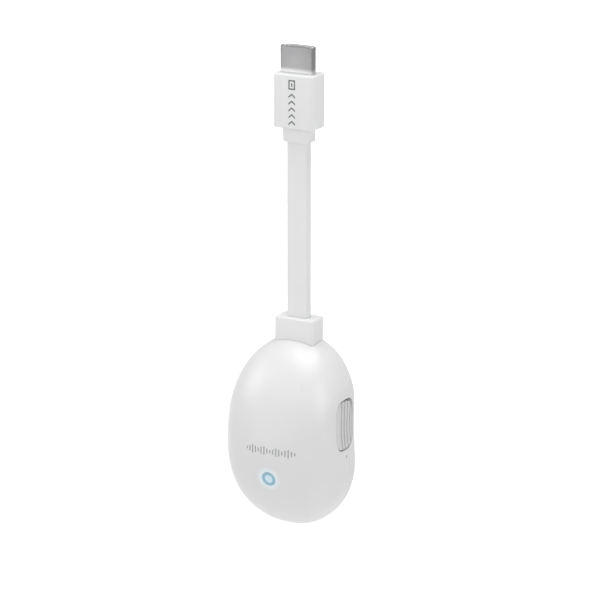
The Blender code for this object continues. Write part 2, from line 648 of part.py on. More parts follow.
def make_board(materials):
    """The main board and its three screws."""
    middle = (BOARD_TOP + BOARD_BOTTOM) / 2
    outline = rounded_rectangle(BOARD_WIDTH, BOARD_TOP - BOARD_BOTTOM, BOARD_CORNER, (0.0, middle), 8)
    board = prism("main_board", "Y", outline, BOARD_FRONT, BOARD_BACK, materials["board"])
    tab_centre = (0.0, BOARD_BOTTOM - BOARD_TAB[1] / 2 + 1.0 * MM)
    tab_outline = rounded_rectangle(BOARD_TAB[0], BOARD_TAB[1] + 2.0 * MM, 0.6 * MM, tab_centre)
    combine(board, prism("board_tab", "Y", tab_outline, BOARD_FRONT, BOARD_BACK), "UNION")
    holes = [circle(SCREW_HOLE_RADIUS, p, 16) for p in SCREW_PLACES]
    combine(board, prisms("board_holes", "Y", holes, -LONG, LONG), "DIFFERENCE")

    head_front = PART_FRONT - 1.4 * MM
    for number, centre in enumerate(SCREW_PLACES, start=1):
        profile = [
            (SCREW_HEAD_RADIUS - 0.3 * MM, head_front),
            (SCREW_HEAD_RADIUS, head_front + 0.5 * MM),
            (SCREW_HEAD_RADIUS, PART_FRONT),
            (SCREW_RADIUS, PART_FRONT),
            (SCREW_RADIUS, SCREW_END - 0.5 * MM),
            (SCREW_RADIUS * 0.6, SCREW_END),
        ]
        screw = turned(f"board_screw_{number}", profile, centre, "Y", materials["screw"], 16)
        recess = prism(f"screw_recess_{number}", "Y", circle(0.8 * MM, centre, 6), -LONG, head_front + 0.8 * MM)
        combine(screw, recess, "DIFFERENCE")


def make_components(materials):
    """The board's components, placed from the egg's widest level."""
    black = materials["black_plastic"]
    pieces = {
        "processor": (corners((-8.5, 3.5), (-4.6, -3.3), (-1.0, 11.0)), black),
        "memory_chip": (corners((4.4, 9.4), (-4.4, -3.3), (-2.0, 8.0)), black),
        "flash_chip": (corners((5.0, 13.0), (-4.4, -3.3), (-29.0, -21.0)), black),
        "wireless_module": (corners((-16.0, -6.0), (-5.1, -3.3), (-21.0, -9.0)), materials["can_metal"]),
        "thermal_pad": (corners((-8.0, 8.0), (-7.5, -6.3), (-3.0, 13.0)), materials["pad"]),
        "power_inductor": (corners((9.0, 13.0), (-6.3, -3.3), (-15.5, -11.5)), materials["ferrite"]),
        "power_regulator": (corners((-6.0, -3.0), (-4.4, -3.3), (-30.5, -26.5)), black),
        "crystal": (corners((-3.2, 0.0), (-4.2, -3.3), (-12.5, -10.0)), materials["can_metal"]),
        "cable_header": (corners((-6.0, 6.0), (-1.5, 1.5), (12.0, 18.5)), materials["header"]),
    }
    for name, ((low, high), material) in pieces.items():
        block(name, low, high, material)

    low, high = corners((-10.5, 10.5), (-6.0, -3.3), (-6.0, 16.0))
    can = block("shield_can", low, high, materials["can_metal"], 0.6 * MM)
    low, high = corners((-10.15, 10.15), (-5.65, 0.0), (-5.65, 15.65))
    combine(can, block("can_hollow", low, high, None, 0.4 * MM), "DIFFERENCE")

    make_heat_sink(materials["aluminium"])
    make_antenna("antenna_left", -1, 20.6 * MM, 16.5 * MM, (-13.0, 7.0), materials["antenna"])
    make_antenna("antenna_right", 1, 17.6 * MM, 15.0 * MM, (-28.0, -16.0), materials["antenna"])


def make_heat_sink(material):
    """A flat base with upright fins towards the front, extruded along the height."""
    base_back = -7.8 * MM
    base_front = -9.0 * MM
    fin_front = -14.0 * MM
    fins = 6
    half = 11.0 * MM
    fin_width = 1.2 * MM
    pitch = (2 * half - fin_width) / (fins - 1)
    outline = [(half, base_back), (-half, base_back)]
    for k in range(fins):
        left = -half + k * pitch
        outline += [(left, base_front), (left, fin_front), (left + fin_width, fin_front)]
        outline += [(left + fin_width, base_front)]
    outline.pop(2)
    outline.pop()
    prism("heat_sink", "Z", outline, CORE_Z - 8.0 * MM, CORE_Z + 18.0 * MM, material)


def make_antenna(name, side, outer, foot_end, heights, material):
    """A stamped strip that stands up from a foot on the board."""
    thickness = 0.6 * MM
    front = -11.0 * MM
    outline = [
        (side * outer, PART_FRONT),
        (side * outer, front),
        (side * (outer - thickness), front),
        (side * (outer - thickness), PART_FRONT - thickness),
        (side * foot_end, PART_FRONT - thickness),
        (side * foot_end, PART_FRONT),
    ]
    prism(name, "Z", outline, CORE_Z + heights[0] * MM, CORE_Z + heights[1] * MM, material)


def make_power_socket(materials):
    """The power socket: a metal tube with a contact tongue on a rear block."""
    mouth = SOCKET_FACE_Z + 0.5 * MM
    end = mouth + SOCKET_LENGTH
    centre = (0.0, SOCKET_Y)
    outline = rounded_rectangle(*SOCKET_SIZE, SOCKET_SIZE[1] / 2 - 0.01 * MM, centre, 6)
    shell = prism("power_socket_shell", "Z", outline, mouth, end, materials["can_metal"])
    inner = [side - 2 * SOCKET_WALL for side in SOCKET_SIZE]
    inner_outline = rounded_rectangle(*inner, inner[1] / 2 - 0.01 * MM, centre, 6)
    combine(shell, prism("socket_bore", "Z", inner_outline, -4 * LONG, LONG), "DIFFERENCE")

    rear = [side - 2 * GAP for side in inner]
    rear_outline = rounded_rectangle(*rear, rear[1] / 2 - 0.01 * MM, centre, 6)
    tongue = prism("power_socket_tongue", "Z", rear_outline, end - 2.0 * MM, end, materials["black_plastic"])
    blade_outline = rounded_rectangle(6.7 * MM, 0.7 * MM, 0.2 * MM, centre, 2)
    blade = prism("tongue_blade", "Z", blade_outline, mouth + 0.7 * MM, end - 1.0 * MM)
    combine(tongue, blade, "UNION")


def make_materials():
    """Every material, by the name that the builders use."""
    return {
        "plug_metal": make_material("plug_metal", (0.46, 0.46, 0.47), 0.30, 1.0),
        "liner": make_material("liner", (0.05, 0.05, 0.055), 0.5),
        "contact": make_material("contact", (0.83, 0.62, 0.27), 0.25, 1.0),
        "white_soft": make_material("white_soft", (0.80, 0.80, 0.80), 0.45),
        "cable": make_material("cable", (0.76, 0.76, 0.77), 0.5),
        "lead": make_material("lead", (0.55, 0.55, 0.57), 0.5),
        "white_gloss": make_material("white_gloss", (0.82, 0.82, 0.82), 0.32),
        "white_button": make_material("white_button", (0.78, 0.78, 0.78), 0.4),
        "ring": make_material("ring", (0.26, 0.55, 0.62), 0.3),
        "lens": make_material("lens", (0.72, 0.90, 0.95), 0.3),
        "clear": make_material("clear", (0.85, 0.92, 0.95), 0.1),
        "lamp": make_material("lamp", (0.55, 0.85, 0.95), 0.3),
        "board": make_material("board", (0.02, 0.14, 0.07), 0.4),
        "black_plastic": make_material("black_plastic", (0.02, 0.02, 0.022), 0.5),
        "stem": make_material("stem", (0.5, 0.1, 0.08), 0.5),
        "can_metal": make_material("can_metal", (0.62, 0.62, 0.63), 0.35, 1.0),
        "aluminium": make_material("aluminium", (0.75, 0.75, 0.76), 0.4, 1.0),
        "pad": make_material("pad", (0.45, 0.48, 0.55), 0.8),
        "ferrite": make_material("ferrite", (0.06, 0.06, 0.065), 0.7),
        "antenna": make_material("antenna", (0.80, 0.55, 0.35), 0.35, 1.0),
        "header": make_material("header", (0.85, 0.82, 0.72), 0.5),
        "screw": make_material("screw", (0.35, 0.35, 0.36), 0.35, 1.0),
    }


def main():
    clear_scene()
    materials = make_materials()
    make_plug(materials)
    make_grip(materials)
    make_cable(materials)
    make_collar(materials)
    make_front_shell(materials)
    make_rear_shell(materials)
    make_side_button(materials)
    make_reset_switch(materials)
    make_light(materials)
    make_board(materials)
    make_components(materials)
    make_power_socket(materials)


main()
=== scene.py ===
"""The looks of the wireless media receiver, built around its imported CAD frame.

-Y is the front with the light ring, +X is the side with the button and +Z is up. All sizes are in metres.
"""

import json
from math import copysign, cos, pi, radians, sin, sqrt, tan

import bmesh
import bpy
from mathutils import Matrix, Vector

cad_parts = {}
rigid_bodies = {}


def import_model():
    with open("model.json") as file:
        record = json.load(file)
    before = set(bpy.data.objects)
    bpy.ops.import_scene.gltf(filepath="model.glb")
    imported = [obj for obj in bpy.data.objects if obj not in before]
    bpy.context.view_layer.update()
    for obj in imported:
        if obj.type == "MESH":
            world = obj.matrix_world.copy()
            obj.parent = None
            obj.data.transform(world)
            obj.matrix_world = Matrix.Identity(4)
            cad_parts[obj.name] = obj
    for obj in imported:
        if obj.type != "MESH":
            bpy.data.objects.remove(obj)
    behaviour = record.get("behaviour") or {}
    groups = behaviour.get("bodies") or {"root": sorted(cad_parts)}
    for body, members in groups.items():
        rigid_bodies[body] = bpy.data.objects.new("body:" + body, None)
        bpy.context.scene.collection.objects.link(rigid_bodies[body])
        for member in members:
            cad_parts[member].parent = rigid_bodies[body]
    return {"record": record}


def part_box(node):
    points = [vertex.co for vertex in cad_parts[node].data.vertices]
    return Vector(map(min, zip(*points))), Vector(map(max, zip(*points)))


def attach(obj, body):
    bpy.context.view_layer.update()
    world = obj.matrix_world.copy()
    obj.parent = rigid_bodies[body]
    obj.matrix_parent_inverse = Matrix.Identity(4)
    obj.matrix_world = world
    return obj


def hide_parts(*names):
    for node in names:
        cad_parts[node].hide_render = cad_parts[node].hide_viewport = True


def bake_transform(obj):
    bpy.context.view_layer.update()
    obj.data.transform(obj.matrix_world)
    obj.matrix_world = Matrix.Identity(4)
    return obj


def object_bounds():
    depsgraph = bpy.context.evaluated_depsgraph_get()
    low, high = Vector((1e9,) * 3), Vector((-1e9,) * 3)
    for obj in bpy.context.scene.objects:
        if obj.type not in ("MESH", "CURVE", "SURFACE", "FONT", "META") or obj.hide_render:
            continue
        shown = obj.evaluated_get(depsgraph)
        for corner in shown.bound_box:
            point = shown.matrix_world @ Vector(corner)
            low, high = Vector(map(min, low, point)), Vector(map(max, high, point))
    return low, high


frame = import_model()
cad_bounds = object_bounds()

MM = 0.001

# Camera
CAMERA_AZIMUTH = radians(28.0)
CAMERA_ELEVATION = radians(16.5)
CAMERA_DISTANCE = 1.1
CAMERA_LENS = 171.6                 # in Blender's millimetres, on a 36 mm sensor
CAMERA_SHIFT = 0.0015

# Levels that come from the frame
GRIP_LOW, GRIP_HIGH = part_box("plug_overmold")
RELIEF_LOW, RELIEF_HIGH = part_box("strain_relief")
COLLAR_LOW, COLLAR_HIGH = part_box("cable_collar")
CABLE_LOW, CABLE_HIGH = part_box("flat_cable")
PLUG_LOW, PLUG_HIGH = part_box("plug_shell")
LINER_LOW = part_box("plug_insulator")[0]
BUTTON_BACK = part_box("side_button")[0].x
RING_LOW, RING_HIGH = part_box("light_ring")
STEM_LOW, STEM_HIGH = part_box("reset_stem")
SOCKET_LOW, SOCKET_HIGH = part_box("power_socket_shell")

# Plug
PLUG_CORNER = 0.55 * MM
PLUG_REAR_HALF = 5.2 * MM           # half the width of its rear face, between the cut corners
PLUG_SHOULDER = 2.6 * MM            # how far its full width reaches back from the front face
SHELL_WALL = 0.4 * MM
SHELL_LIP = 0.18 * MM               # how far the mouth's rim is rolled in
WINDOW_SIZE = (1.7 * MM, 2.6 * MM)
WINDOW_PLACE = (3.1 * MM, 4.3 * MM)    # from the middle, and above the grip
WINDOW_CORNER = 0.25 * MM
WINDOW_REACH = 0.9 * MM             # how far its cutter reaches to each side of the rear face
LINER_INSET = 0.42 * MM
LINER_RECESS = 0.2 * MM             # from the shell's end down to the liner's
SLOT_SIZE = (11.2 * MM, 1.5 * MM)
SLOT_CORNER = 0.3 * MM
SLOT_FLOOR_Z = 1.5 * MM
CHANNEL_SIZE = (0.6 * MM, 0.9 * MM)
CHANNEL_CORNER = 0.1 * MM
CHANNEL_ROW_Y = 0.95 * MM
CHANNEL_PITCH = MM
CHANNEL_ROWS = ((-1, 10), (1, 9))   # the side of each row, and its number of channels

# Grip, relief, cable and collar
GRIP_CORNER = 1.7 * MM
GRIP_EDGE = 0.8 * MM
MOUTH_GROW = 0.12 * MM              # gap round the metal in the grip
MOUTH_DEPTH = 7.0 * MM
THROAT_SIZE = (9.2 * MM, 4.6 * MM)
THROAT_CORNER = 1.0 * MM
THROAT_DEPTH = 6.0 * MM             # from the grip's top down to the throat's
RELIEF_CORNER = 0.9 * MM
RELIEF_EDGE = 0.45 * MM
RELIEF_TAPER = 0.2 * MM
RELIEF_OVERLAP = 0.05 * MM
CABLE_CORNER = 0.5 * MM
CABLE_STEPS = 100
COLLAR_SIZE = (17.0 * MM, 9.5 * MM)
COLLAR_CORNER = 1.3 * MM
COLLAR_EDGE = 0.4 * MM
COLLAR_FOOT = 2.0 * MM              # how far its hidden lower end stops short of the CAD's

# Egg-shaped body. It is a little fuller than the CAD's at the rear, and its finger hollow is deeper.
# Each size is the reach at the widest level, with the exponent of the curve above and below that level.
EGG_TOP = COLLAR_HIGH.z - 7.3 * MM
EGG_BOTTOM = EGG_TOP - 76.1 * MM
EGG_WIDEST = EGG_TOP - 39.0 * MM
EGG_WIDTH = {"size": 25.4 * MM, "above": 2.6, "below": 2.7}
EGG_FRONT = {"size": 21.8 * MM, "above": 2.3, "below": 2.1}
EGG_REAR = {"size": 12.6 * MM, "above": 3.7, "below": 5.0}
EGG_TOP_Y = 1.2 * MM
EGG_MIDDLE_Y = -4.3 * MM
EGG_BOTTOM_Y = -2.0 * MM
TOP_BLUNTNESS = 1.95
BOTTOM_BLUNTNESS = 1.92
FRONT_SQUARENESS = 2.46
REAR_SQUARENESS = 2.95
EGG_LEVELS = 150
EGG_SEGMENTS = 200
CAVITY_LEVELS = 60
CAVITY_SEGMENTS = 72
FRONT_WALL = 1.3 * MM
REAR_WALL = 2.4 * MM
SEAM_TOP_Y = 2.2 * MM
SEAM_MIDDLE_Y = -4.0 * MM
SEAM_BOTTOM_Y = -0.5 * MM
SEAM_GAP = 0.14 * MM
SEAM_ROUND = 0.22 * MM
SCOOP_X = 22.8 * MM
SCOOP_RADIUS = 55.0 * MM
SCOOP_Z = EGG_TOP - 32.0 * MM
SCOOP_BLEND = 3.0 * MM

# Openings in the body
EDGE = 0.28 * MM                    # rounding of an opening's edge
FIT = 0.16 * MM                     # gap round a piece that sits in an opening
SMALL_EDGE = 0.4                    # share of the rounding that the pin hole and the ring's hole get
SIDE_CUT = (30.0 * MM, 15.0 * MM)   # where a cutter in the side begins and ends, in X
FRONT_CUT = (-32.0 * MM, -16.0 * MM)    # and one in the front, in Y
SOCKET_FACE = (12.0 * MM, 5.8 * MM)
SOCKET_FACE_CORNER = 2.0 * MM
SOCKET_FACE_Y = -5.0 * MM
SOCKET_FACE_Z = EGG_BOTTOM + 1.7 * MM
SOCKET_DEPTH = 5.0                  # in millimetres, past the face
SOCKET_PAD = (13.4 * MM, 6.0 * MM)
SOCKET_PAD_CORNER = 2.2 * MM
SOCKET_PAD_Y = -5.5 * MM
SOCKET_PAD_HEIGHT = 4.0 * MM
SOCKET_PAD_INSET = 0.4 * MM

# Button
BUTTON_Y = (-12.0 * MM, 1.6 * MM)
BUTTON_Z = (EGG_TOP - 41.5 * MM, EGG_TOP - 21.7 * MM)
BUTTON_SQUARENESS = 3.4
BUTTON_DROOP = 1.0 * MM             # how much its top falls towards the rear, below the opening
BUTTON_SLACK = 0.35 * MM            # the extra gap along its front edge
BUTTON_STEPS = 96
BUTTON_FIT = 0.3 * MM               # gap round it
BUTTON_INSET = 0.45 * MM
GROOVE_COUNT = 4
GROOVE_FIRST_Y = -7.3 * MM
GROOVE_PITCH = 2.35 * MM
GROOVE_WIDTH = 1.2 * MM
GROOVE_DEPTH = 1.0 * MM
GROOVE_BLUNTNESS = 0.6              # below 1, a groove is broader at its bottom than a cosine
GROOVE_END = 0.7 * MM               # plain part of the button beyond the grooves' ends
GROOVE_FADE = 1.2 * MM
PIN_RADIUS = 0.5 * MM
PIN_CENTRE = ((STEM_LOW.y + STEM_HIGH.y) / 2, (STEM_LOW.z + STEM_HIGH.z) / 2)

# Light ring
RING_Z = (RING_LOW.z + RING_HIGH.z) / 2
RING_OUTER = 2.85 * MM
RING_INNER = 1.72 * MM
RING_FIT = 0.05 * MM
LENS_RADIUS = 1.66 * MM

# Printed marks
FRONT_MARK_X = 1.2 * MM
FRONT_MARK_Z = EGG_TOP - 39.6 * MM
FRONT_MARK_PITCH = 1.27 * MM
FRONT_MARK_STROKE = 0.5 * MM
FRONT_MARK_HEIGHTS = (1.2, 2.2, 3.4, 2.6, 1.6, 2.8, 3.4, 2.0, 1.2, 2.0, 3.4, 2.8, 1.6, 2.6, 3.4, 2.2, 1.2)
GRIP_MARK_X = -0.4 * MM
GRIP_MARK_HALF = 1.4 * MM           # half the width
GRIP_MARK_STROKE = 0.5 * MM
CHEVRON_COUNT = 5
CHEVRON_FIRST = 7.2                 # in millimetres, below the grip's top
CHEVRON_PITCH = 2.6
CHEVRON_RISE = 1.2 * MM
SOCKET_MARK_DROP = 2.3 * MM
SOCKET_MARK_HEIGHT = 3.2 * MM

# Studio
FLOOR_DROP = 0.24                   # below the object
FLOOR_REACH = 9.0
WORLD_HORIZON = 0.62                # as pale as the floor where the two meet
WORLD_TOP = 0.30
WORLD_FADE = 0.28                   # the height, in a direction's Z, at which the top's strength is reached
SKY_ENERGY = 1.35
SKY_ANGLE = radians(50)             # as soft as a ceiling of cloth

# Sockets of a Mix node that mixes colours
MIX_FACTOR, MIX_FIRST, MIX_SECOND, MIX_RESULT = 0, 6, 7, 2

# Slicing, in metres
SLICE_NEAR = 1e-7                   # a point this near the plane counts as on it
ON_SLICE = 1e-6


# Mesh helpers

def add_mesh(name, bm, material, sharp=35):
    """A new object from a bmesh, smooth but for the edges that bend by more than sharp degrees."""
    bmesh.ops.recalc_face_normals(bm, faces=bm.faces)
    mesh = bpy.data.meshes.new(name)
    bm.to_mesh(mesh)
    bm.free()
    if material is not None:
        mesh.materials.append(material)
    obj = bpy.data.objects.new(name, mesh)
    bpy.context.scene.collection.objects.link(obj)
    smooth(obj, sharp)
    return obj


def smooth(obj, sharp=35):
    """Shade an object smooth, with sharp edges where its faces meet at more than this angle."""
    obj.data.shade_smooth()
    obj.data.set_sharp_from_angle(angle=radians(sharp))


def skin_rings(bm, rings, closed=False):
    """Join rings of points in order, and close the two ends or join the last ring to the first."""
    loops = [[bm.verts.new(point) for point in ring] for ring in rings]
    pairs = list(zip(loops, loops[1:]))
    if closed:
        pairs.append((loops[-1], loops[0]))
    for first, second in pairs:
        for k in range(len(first)):
            following = (k + 1) % len(first)
            bm.faces.new((first[k], first[following], second[following], second[k]))
    if not closed:
        bm.faces.new(loops[0])
        bm.faces.new(loops[-1])
    return bm


def skin(name, rings, material=None, closed=False, sharp=35):
    """An object from rings of points."""
    return add_mesh(name, skin_rings(bmesh.new(), rings, closed), material, sharp)


def combine(target, other, operation="DIFFERENCE"):
    """Cut, join or intersect two closed meshes for good, and remove the second."""
    modifier = target.modifiers.new("combine", "BOOLEAN")
    modifier.operation = operation
    modifier.solver = "MANIFOLD"
    modifier.object = other
    graph = bpy.context.evaluated_depsgraph_get()
    result = bpy.data.meshes.new_from_object(target.evaluated_get(graph))
    old = target.data
    target.modifiers.clear()
    target.data = result
    result.name = old.name
    bpy.data.meshes.remove(old)
    bpy.data.objects.remove(other)
    return target


def rounded_rectangle(width, height, radius, centre=(0.0, 0.0), steps=8):
    """A rectangle's outline with round corners, anticlockwise."""
    points = []
    for corner, (side, level) in enumerate(((1, 1), (-1, 1), (-1, -1), (1, -1))):
        x = centre[0] + side * (width / 2 - radius)
        y = centre[1] + level * (height / 2 - radius)
        for k in range(steps + 1):
            turn = (corner + k / steps) * pi / 2
            points.append((x + radius * cos(turn), y + radius * sin(turn)))
    return points


def circle(radius, centre, steps=48):
    """A circle's outline."""
    turns = [2 * pi * k / steps for k in range(steps)]
    return [(centre[0] + radius * cos(turn), centre[1] + radius * sin(turn)) for turn in turns]


def level_ring(outline, z):
    """An outline in X and Y as a ring at one height."""
    return [(x, y, z) for x, y in outline]


def rounded_prism(name, size, corner, low, high, edge, material, taper=0.0, steps=5):
    """An upright block with round corners and rounded rims. It is narrower by taper at its lower end."""
    def ring(shrink, z):
        narrow = shrink + taper * (high - z) / (high - low)
        radius = max(corner - shrink, 0.05 * MM)
        return level_ring(rounded_rectangle(size[0] - 2 * narrow, size[1] - 2 * narrow, radius), z)

    turns = [pi / 2 * k / steps for k in range(steps + 1)]
    rings = [ring(edge * (1 - sin(turn)), low + edge * (1 - cos(turn))) for turn in turns]
    rings += [ring(edge * (1 - cos(turn)), high - edge * (1 - sin(turn))) for turn in turns]
    return skin(name, rings, material)


# The egg's surface

def egg_reach(extent, z, inset):
    """How far the egg reaches at one level, for its width, its front or its rear."""
    if z > EGG_WIDEST:
        pole, exponent, bluntness = EGG_TOP - inset, extent["above"], TOP_BLUNTNESS
    else:
        pole, exponent, bluntness = EGG_BOTTOM + inset, extent["below"], BOTTOM_BLUNTNESS
    share = min((z - EGG_WIDEST) / (pole - EGG_WIDEST), 1.0)
    return (extent["size"] - inset) * (1.0 - share ** exponent) ** (1.0 / bluntness)


def bowed(top_y, middle_y, bottom_y, z):
    """The place in Y, at one level, of a parabola given by its top, its middle and its bottom."""
    rise = (2 * z - EGG_TOP - EGG_BOTTOM) / (EGG_TOP - EGG_BOTTOM)
    lean = (top_y - bottom_y) / 2
    bow = (top_y + bottom_y) / 2 - middle_y
    return middle_y + lean * rise + bow * rise ** 2


def egg_middle(z):
    """The place in Y of the egg's middle line at one level."""
    return bowed(EGG_TOP_Y, EGG_MIDDLE_Y, EGG_BOTTOM_Y, z)


def seam_y(z):
    """The place in Y of the seam at one level."""
    return bowed(SEAM_TOP_Y, SEAM_MIDDLE_Y, SEAM_BOTTOM_Y, z)


def finger_hollow(x, z, inset):
    """Keep x inside the hollow for the finger, with a rounded change from one surface to the other."""
    rise = min(abs(z - SCOOP_Z), 0.9 * SCOOP_RADIUS)
    limit = SCOOP_X + SCOOP_RADIUS - sqrt(SCOOP_RADIUS ** 2 - rise ** 2) - inset
    overlap = max(SCOOP_BLEND - abs(x - limit), 0.0)
    return min(x, limit) - overlap ** 2 / (4 * SCOOP_BLEND)


def egg_ring(z, inset, segments):
    """One level section of the egg."""
    half_width, front, rear = (egg_reach(extent, z, inset) for extent in (EGG_WIDTH, EGG_FRONT, EGG_REAR))
    points = []
    for k in range(segments):
        turn = 2 * pi * (k + 0.5) / segments
        depth, squareness = (rear, REAR_SQUARENESS) if sin(turn) > 0 else (front, FRONT_SQUARENESS)
        power = 2.0 / squareness
        x = half_width * copysign(abs(cos(turn)) ** power, cos(turn))
        y = egg_middle(z) + depth * copysign(abs(sin(turn)) ** power, sin(turn))
        points.append((finger_hollow(x, z, inset), y, z))
    return points


def egg_heights(inset, levels):
    """The heights of the egg's level sections, from the top down."""
    middle = (EGG_TOP + EGG_BOTTOM) / 2
    half_height = (EGG_TOP - EGG_BOTTOM) / 2 - inset
    return [middle + half_height * cos(pi * k / levels) for k in range(1, levels)]


def egg_bmesh(inset, levels, segments):
    """The closed egg surface, drawn in by inset."""
    bm = bmesh.new()
    rings = [[bm.verts.new(point) for point in egg_ring(z, inset, segments)]
             for z in egg_heights(inset, levels)]
    for upper, lower in zip(rings, rings[1:]):
        for k in range(segments):
            following = (k + 1) % segments
            bm.faces.new((upper[k], lower[k], lower[following], upper[following]))
    poles = (
        (rings[0], (0.0, EGG_TOP_Y, EGG_TOP - inset)),
        (rings[-1], (0.0, EGG_BOTTOM_Y, EGG_BOTTOM + inset)),
    )
    for ring, point in poles:
        pole = bm.verts.new(point)
        for k in range(segments):
            bm.faces.new((ring[k], ring[(k + 1) % segments], pole))
    bmesh.ops.recalc_face_normals(bm, faces=bm.faces)
    return bm


def side_x(y, z, inset):
    """The place in X of the +X side's surface."""
    middle = egg_middle(z)
    extent, squareness = (EGG_REAR, REAR_SQUARENESS) if y > middle else (EGG_FRONT, FRONT_SQUARENESS)
    across = min(abs(y - middle) / egg_reach(extent, z, inset), 1.0)
    x = egg_reach(EGG_WIDTH, z, inset) * (1 - across ** squareness) ** (1 / squareness)
    return finger_hollow(x, z, inset)


def front_y(x, z, inset):
    """The place in Y of the front surface."""
    across = min(abs(x) / egg_reach(EGG_WIDTH, z, inset), 1.0)
    depth = egg_reach(EGG_FRONT, z, inset) * (1 - across ** FRONT_SQUARENESS) ** (1 / FRONT_SQUARENESS)
    return egg_middle(z) - depth


def side_ring(outline, inset):
    """An outline in Y and Z laid on the +X side."""
    return [(side_x(y, z, inset), y, z) for y, z in outline]


def front_ring(outline, inset):
    """An outline in X and Z laid on the front."""
    return [(x, front_y(x, z, inset), z) for x, z in outline]


# Materials

def node(tree, kind, **values):
    """A shader node, with its inputs set by name."""
    made = tree.nodes.new(kind)
    for name, value in values.items():
        made.inputs[name.replace("_", " ")].default_value = value
    return made


def noise_of(tree, coordinates, scale, detail):
    """A noise texture over the object's own coordinates."""
    noise = node(tree, "ShaderNodeTexNoise", Scale=scale, Detail=detail)
    tree.links.new(coordinates.outputs["Object"], noise.inputs["Vector"])
    return noise


def range_of(tree, source, low, high):
    """Map a factor from 0 to 1 onto another range."""
    mapped = node(tree, "ShaderNodeMapRange", To_Min=low, To_Max=high)
    tree.links.new(source, mapped.inputs["Value"])
    return mapped.outputs["Result"]


def surface(name, colour, roughness, metallic=0.0, grain=2500.0, relief=0.04, mottle=0.02, glow=None,
            **constants):
    """A moulded or metal surface: fine relief, patches of slightly other colour and uneven gloss.

    A glow is a colour and a strength."""
    material = bpy.data.materials.new(name)
    material.use_nodes = True
    tree = material.node_tree
    shader = tree.nodes["Principled BSDF"]
    shader.inputs["Metallic"].default_value = metallic
    for key, value in constants.items():
        shader.inputs[key.replace("_", " ")].default_value = value
    coordinates = tree.nodes.new("ShaderNodeTexCoord")

    patches = noise_of(tree, coordinates, 90.0, 3.0)
    mix = tree.nodes.new("ShaderNodeMix")
    mix.data_type = "RGBA"
    mix.inputs[MIX_FIRST].default_value = (*[c * (1 - mottle) for c in colour], 1.0)
    mix.inputs[MIX_SECOND].default_value = (*[min(c * (1 + mottle), 1.0) for c in colour], 1.0)
    tree.links.new(patches.outputs["Fac"], mix.inputs[MIX_FACTOR])
    tree.links.new(mix.outputs[MIX_RESULT], shader.inputs["Base Color"])

    smudges = noise_of(tree, coordinates, 240.0, 4.0)
    tree.links.new(range_of(tree, smudges.outputs["Fac"], roughness * 0.82, roughness * 1.18),
                   shader.inputs["Roughness"])

    fine = noise_of(tree, coordinates, grain, 2.0)
    bump = node(tree, "ShaderNodeBump", Strength=relief, Distance=0.05 * MM)
    tree.links.new(fine.outputs["Fac"], bump.inputs["Height"])
    tree.links.new(bump.outputs["Normal"], shader.inputs["Normal"])
    if glow is not None:
        shader.inputs["Emission Color"].default_value = (*glow[0], 1.0)
        shader.inputs["Emission Strength"].default_value = glow[1]
    return material


def add_halo(material, centre, colour, radius, amount):
    """Let the light of the ring spread a little way into the plastic round it."""
    tree = material.node_tree
    shader = tree.nodes["Principled BSDF"]
    position = tree.nodes.new("ShaderNodeTexCoord")
    distance = tree.nodes.new("ShaderNodeVectorMath")
    distance.operation = "DISTANCE"
    distance.inputs[1].default_value = centre
    tree.links.new(position.outputs["Object"], distance.inputs[0])
    fade = node(tree, "ShaderNodeMapRange", From_Min=radius, From_Max=RING_OUTER, To_Min=0.0, To_Max=amount)
    fade.interpolation_type = "SMOOTHSTEP"
    tree.links.new(distance.outputs["Value"], fade.inputs["Value"])
    shader.inputs["Emission Color"].default_value = (*colour, 1.0)
    tree.links.new(fade.outputs["Result"], shader.inputs["Emission Strength"])


def arithmetic(tree, operation, first, second=0.0):
    """A sum on one or two values, each a socket or a number."""
    made = tree.nodes.new("ShaderNodeMath")
    made.operation = operation
    for socket, value in zip(made.inputs, (first, second)):
        if isinstance(value, bpy.types.NodeSocket):
            tree.links.new(value, socket)
        else:
            socket.default_value = value
    return made.outputs[0]


def place_along(tree, axis):
    """The object's own coordinate along one axis."""
    position = tree.nodes.new("ShaderNodeTexCoord")
    split = tree.nodes.new("ShaderNodeSeparateXYZ")
    tree.links.new(position.outputs["Object"], split.inputs[0])
    return split.outputs[axis]


def tint_base(material, factor, colour):
    """Mix a material's own colour with another one, by the factor that a socket gives."""
    tree = material.node_tree
    base = tree.nodes["Principled BSDF"].inputs["Base Color"]
    plain = base.links[0].from_socket
    mix = tree.nodes.new("ShaderNodeMix")
    mix.data_type = "RGBA"
    mix.inputs[MIX_SECOND].default_value = (*colour, 1.0)
    tree.links.new(factor, mix.inputs[MIX_FACTOR])
    tree.links.new(plain, mix.inputs[MIX_FIRST])
    tree.links.new(mix.outputs[MIX_RESULT], base)


def add_groove_shade(material, colour):
    """Darken the bottoms of the button's grooves, as the little light that reaches them does."""
    tree = material.node_tree
    along = arithmetic(tree, "SUBTRACT", place_along(tree, "Y"), GROOVE_FIRST_Y)
    turns = arithmetic(tree, "DIVIDE", along, GROOVE_PITCH)
    nearest = arithmetic(tree, "ROUND", turns)
    offset = arithmetic(tree, "ABSOLUTE", arithmetic(tree, "SUBTRACT", turns, nearest))
    half_groove = GROOVE_WIDTH / GROOVE_PITCH / 2
    fade = node(tree, "ShaderNodeMapRange", From_Min=0.9 * half_groove, From_Max=0.3 * half_groove)
    tree.links.new(offset, fade.inputs["Value"])
    past_first = arithmetic(tree, "GREATER_THAN", nearest, -0.5)
    before_end = arithmetic(tree, "LESS_THAN", nearest, GROOVE_COUNT - 0.5)
    inside = arithmetic(tree, "MULTIPLY", past_first, before_end)
    tint_base(material, arithmetic(tree, "MULTIPLY", inside, fade.outputs["Result"]), colour)


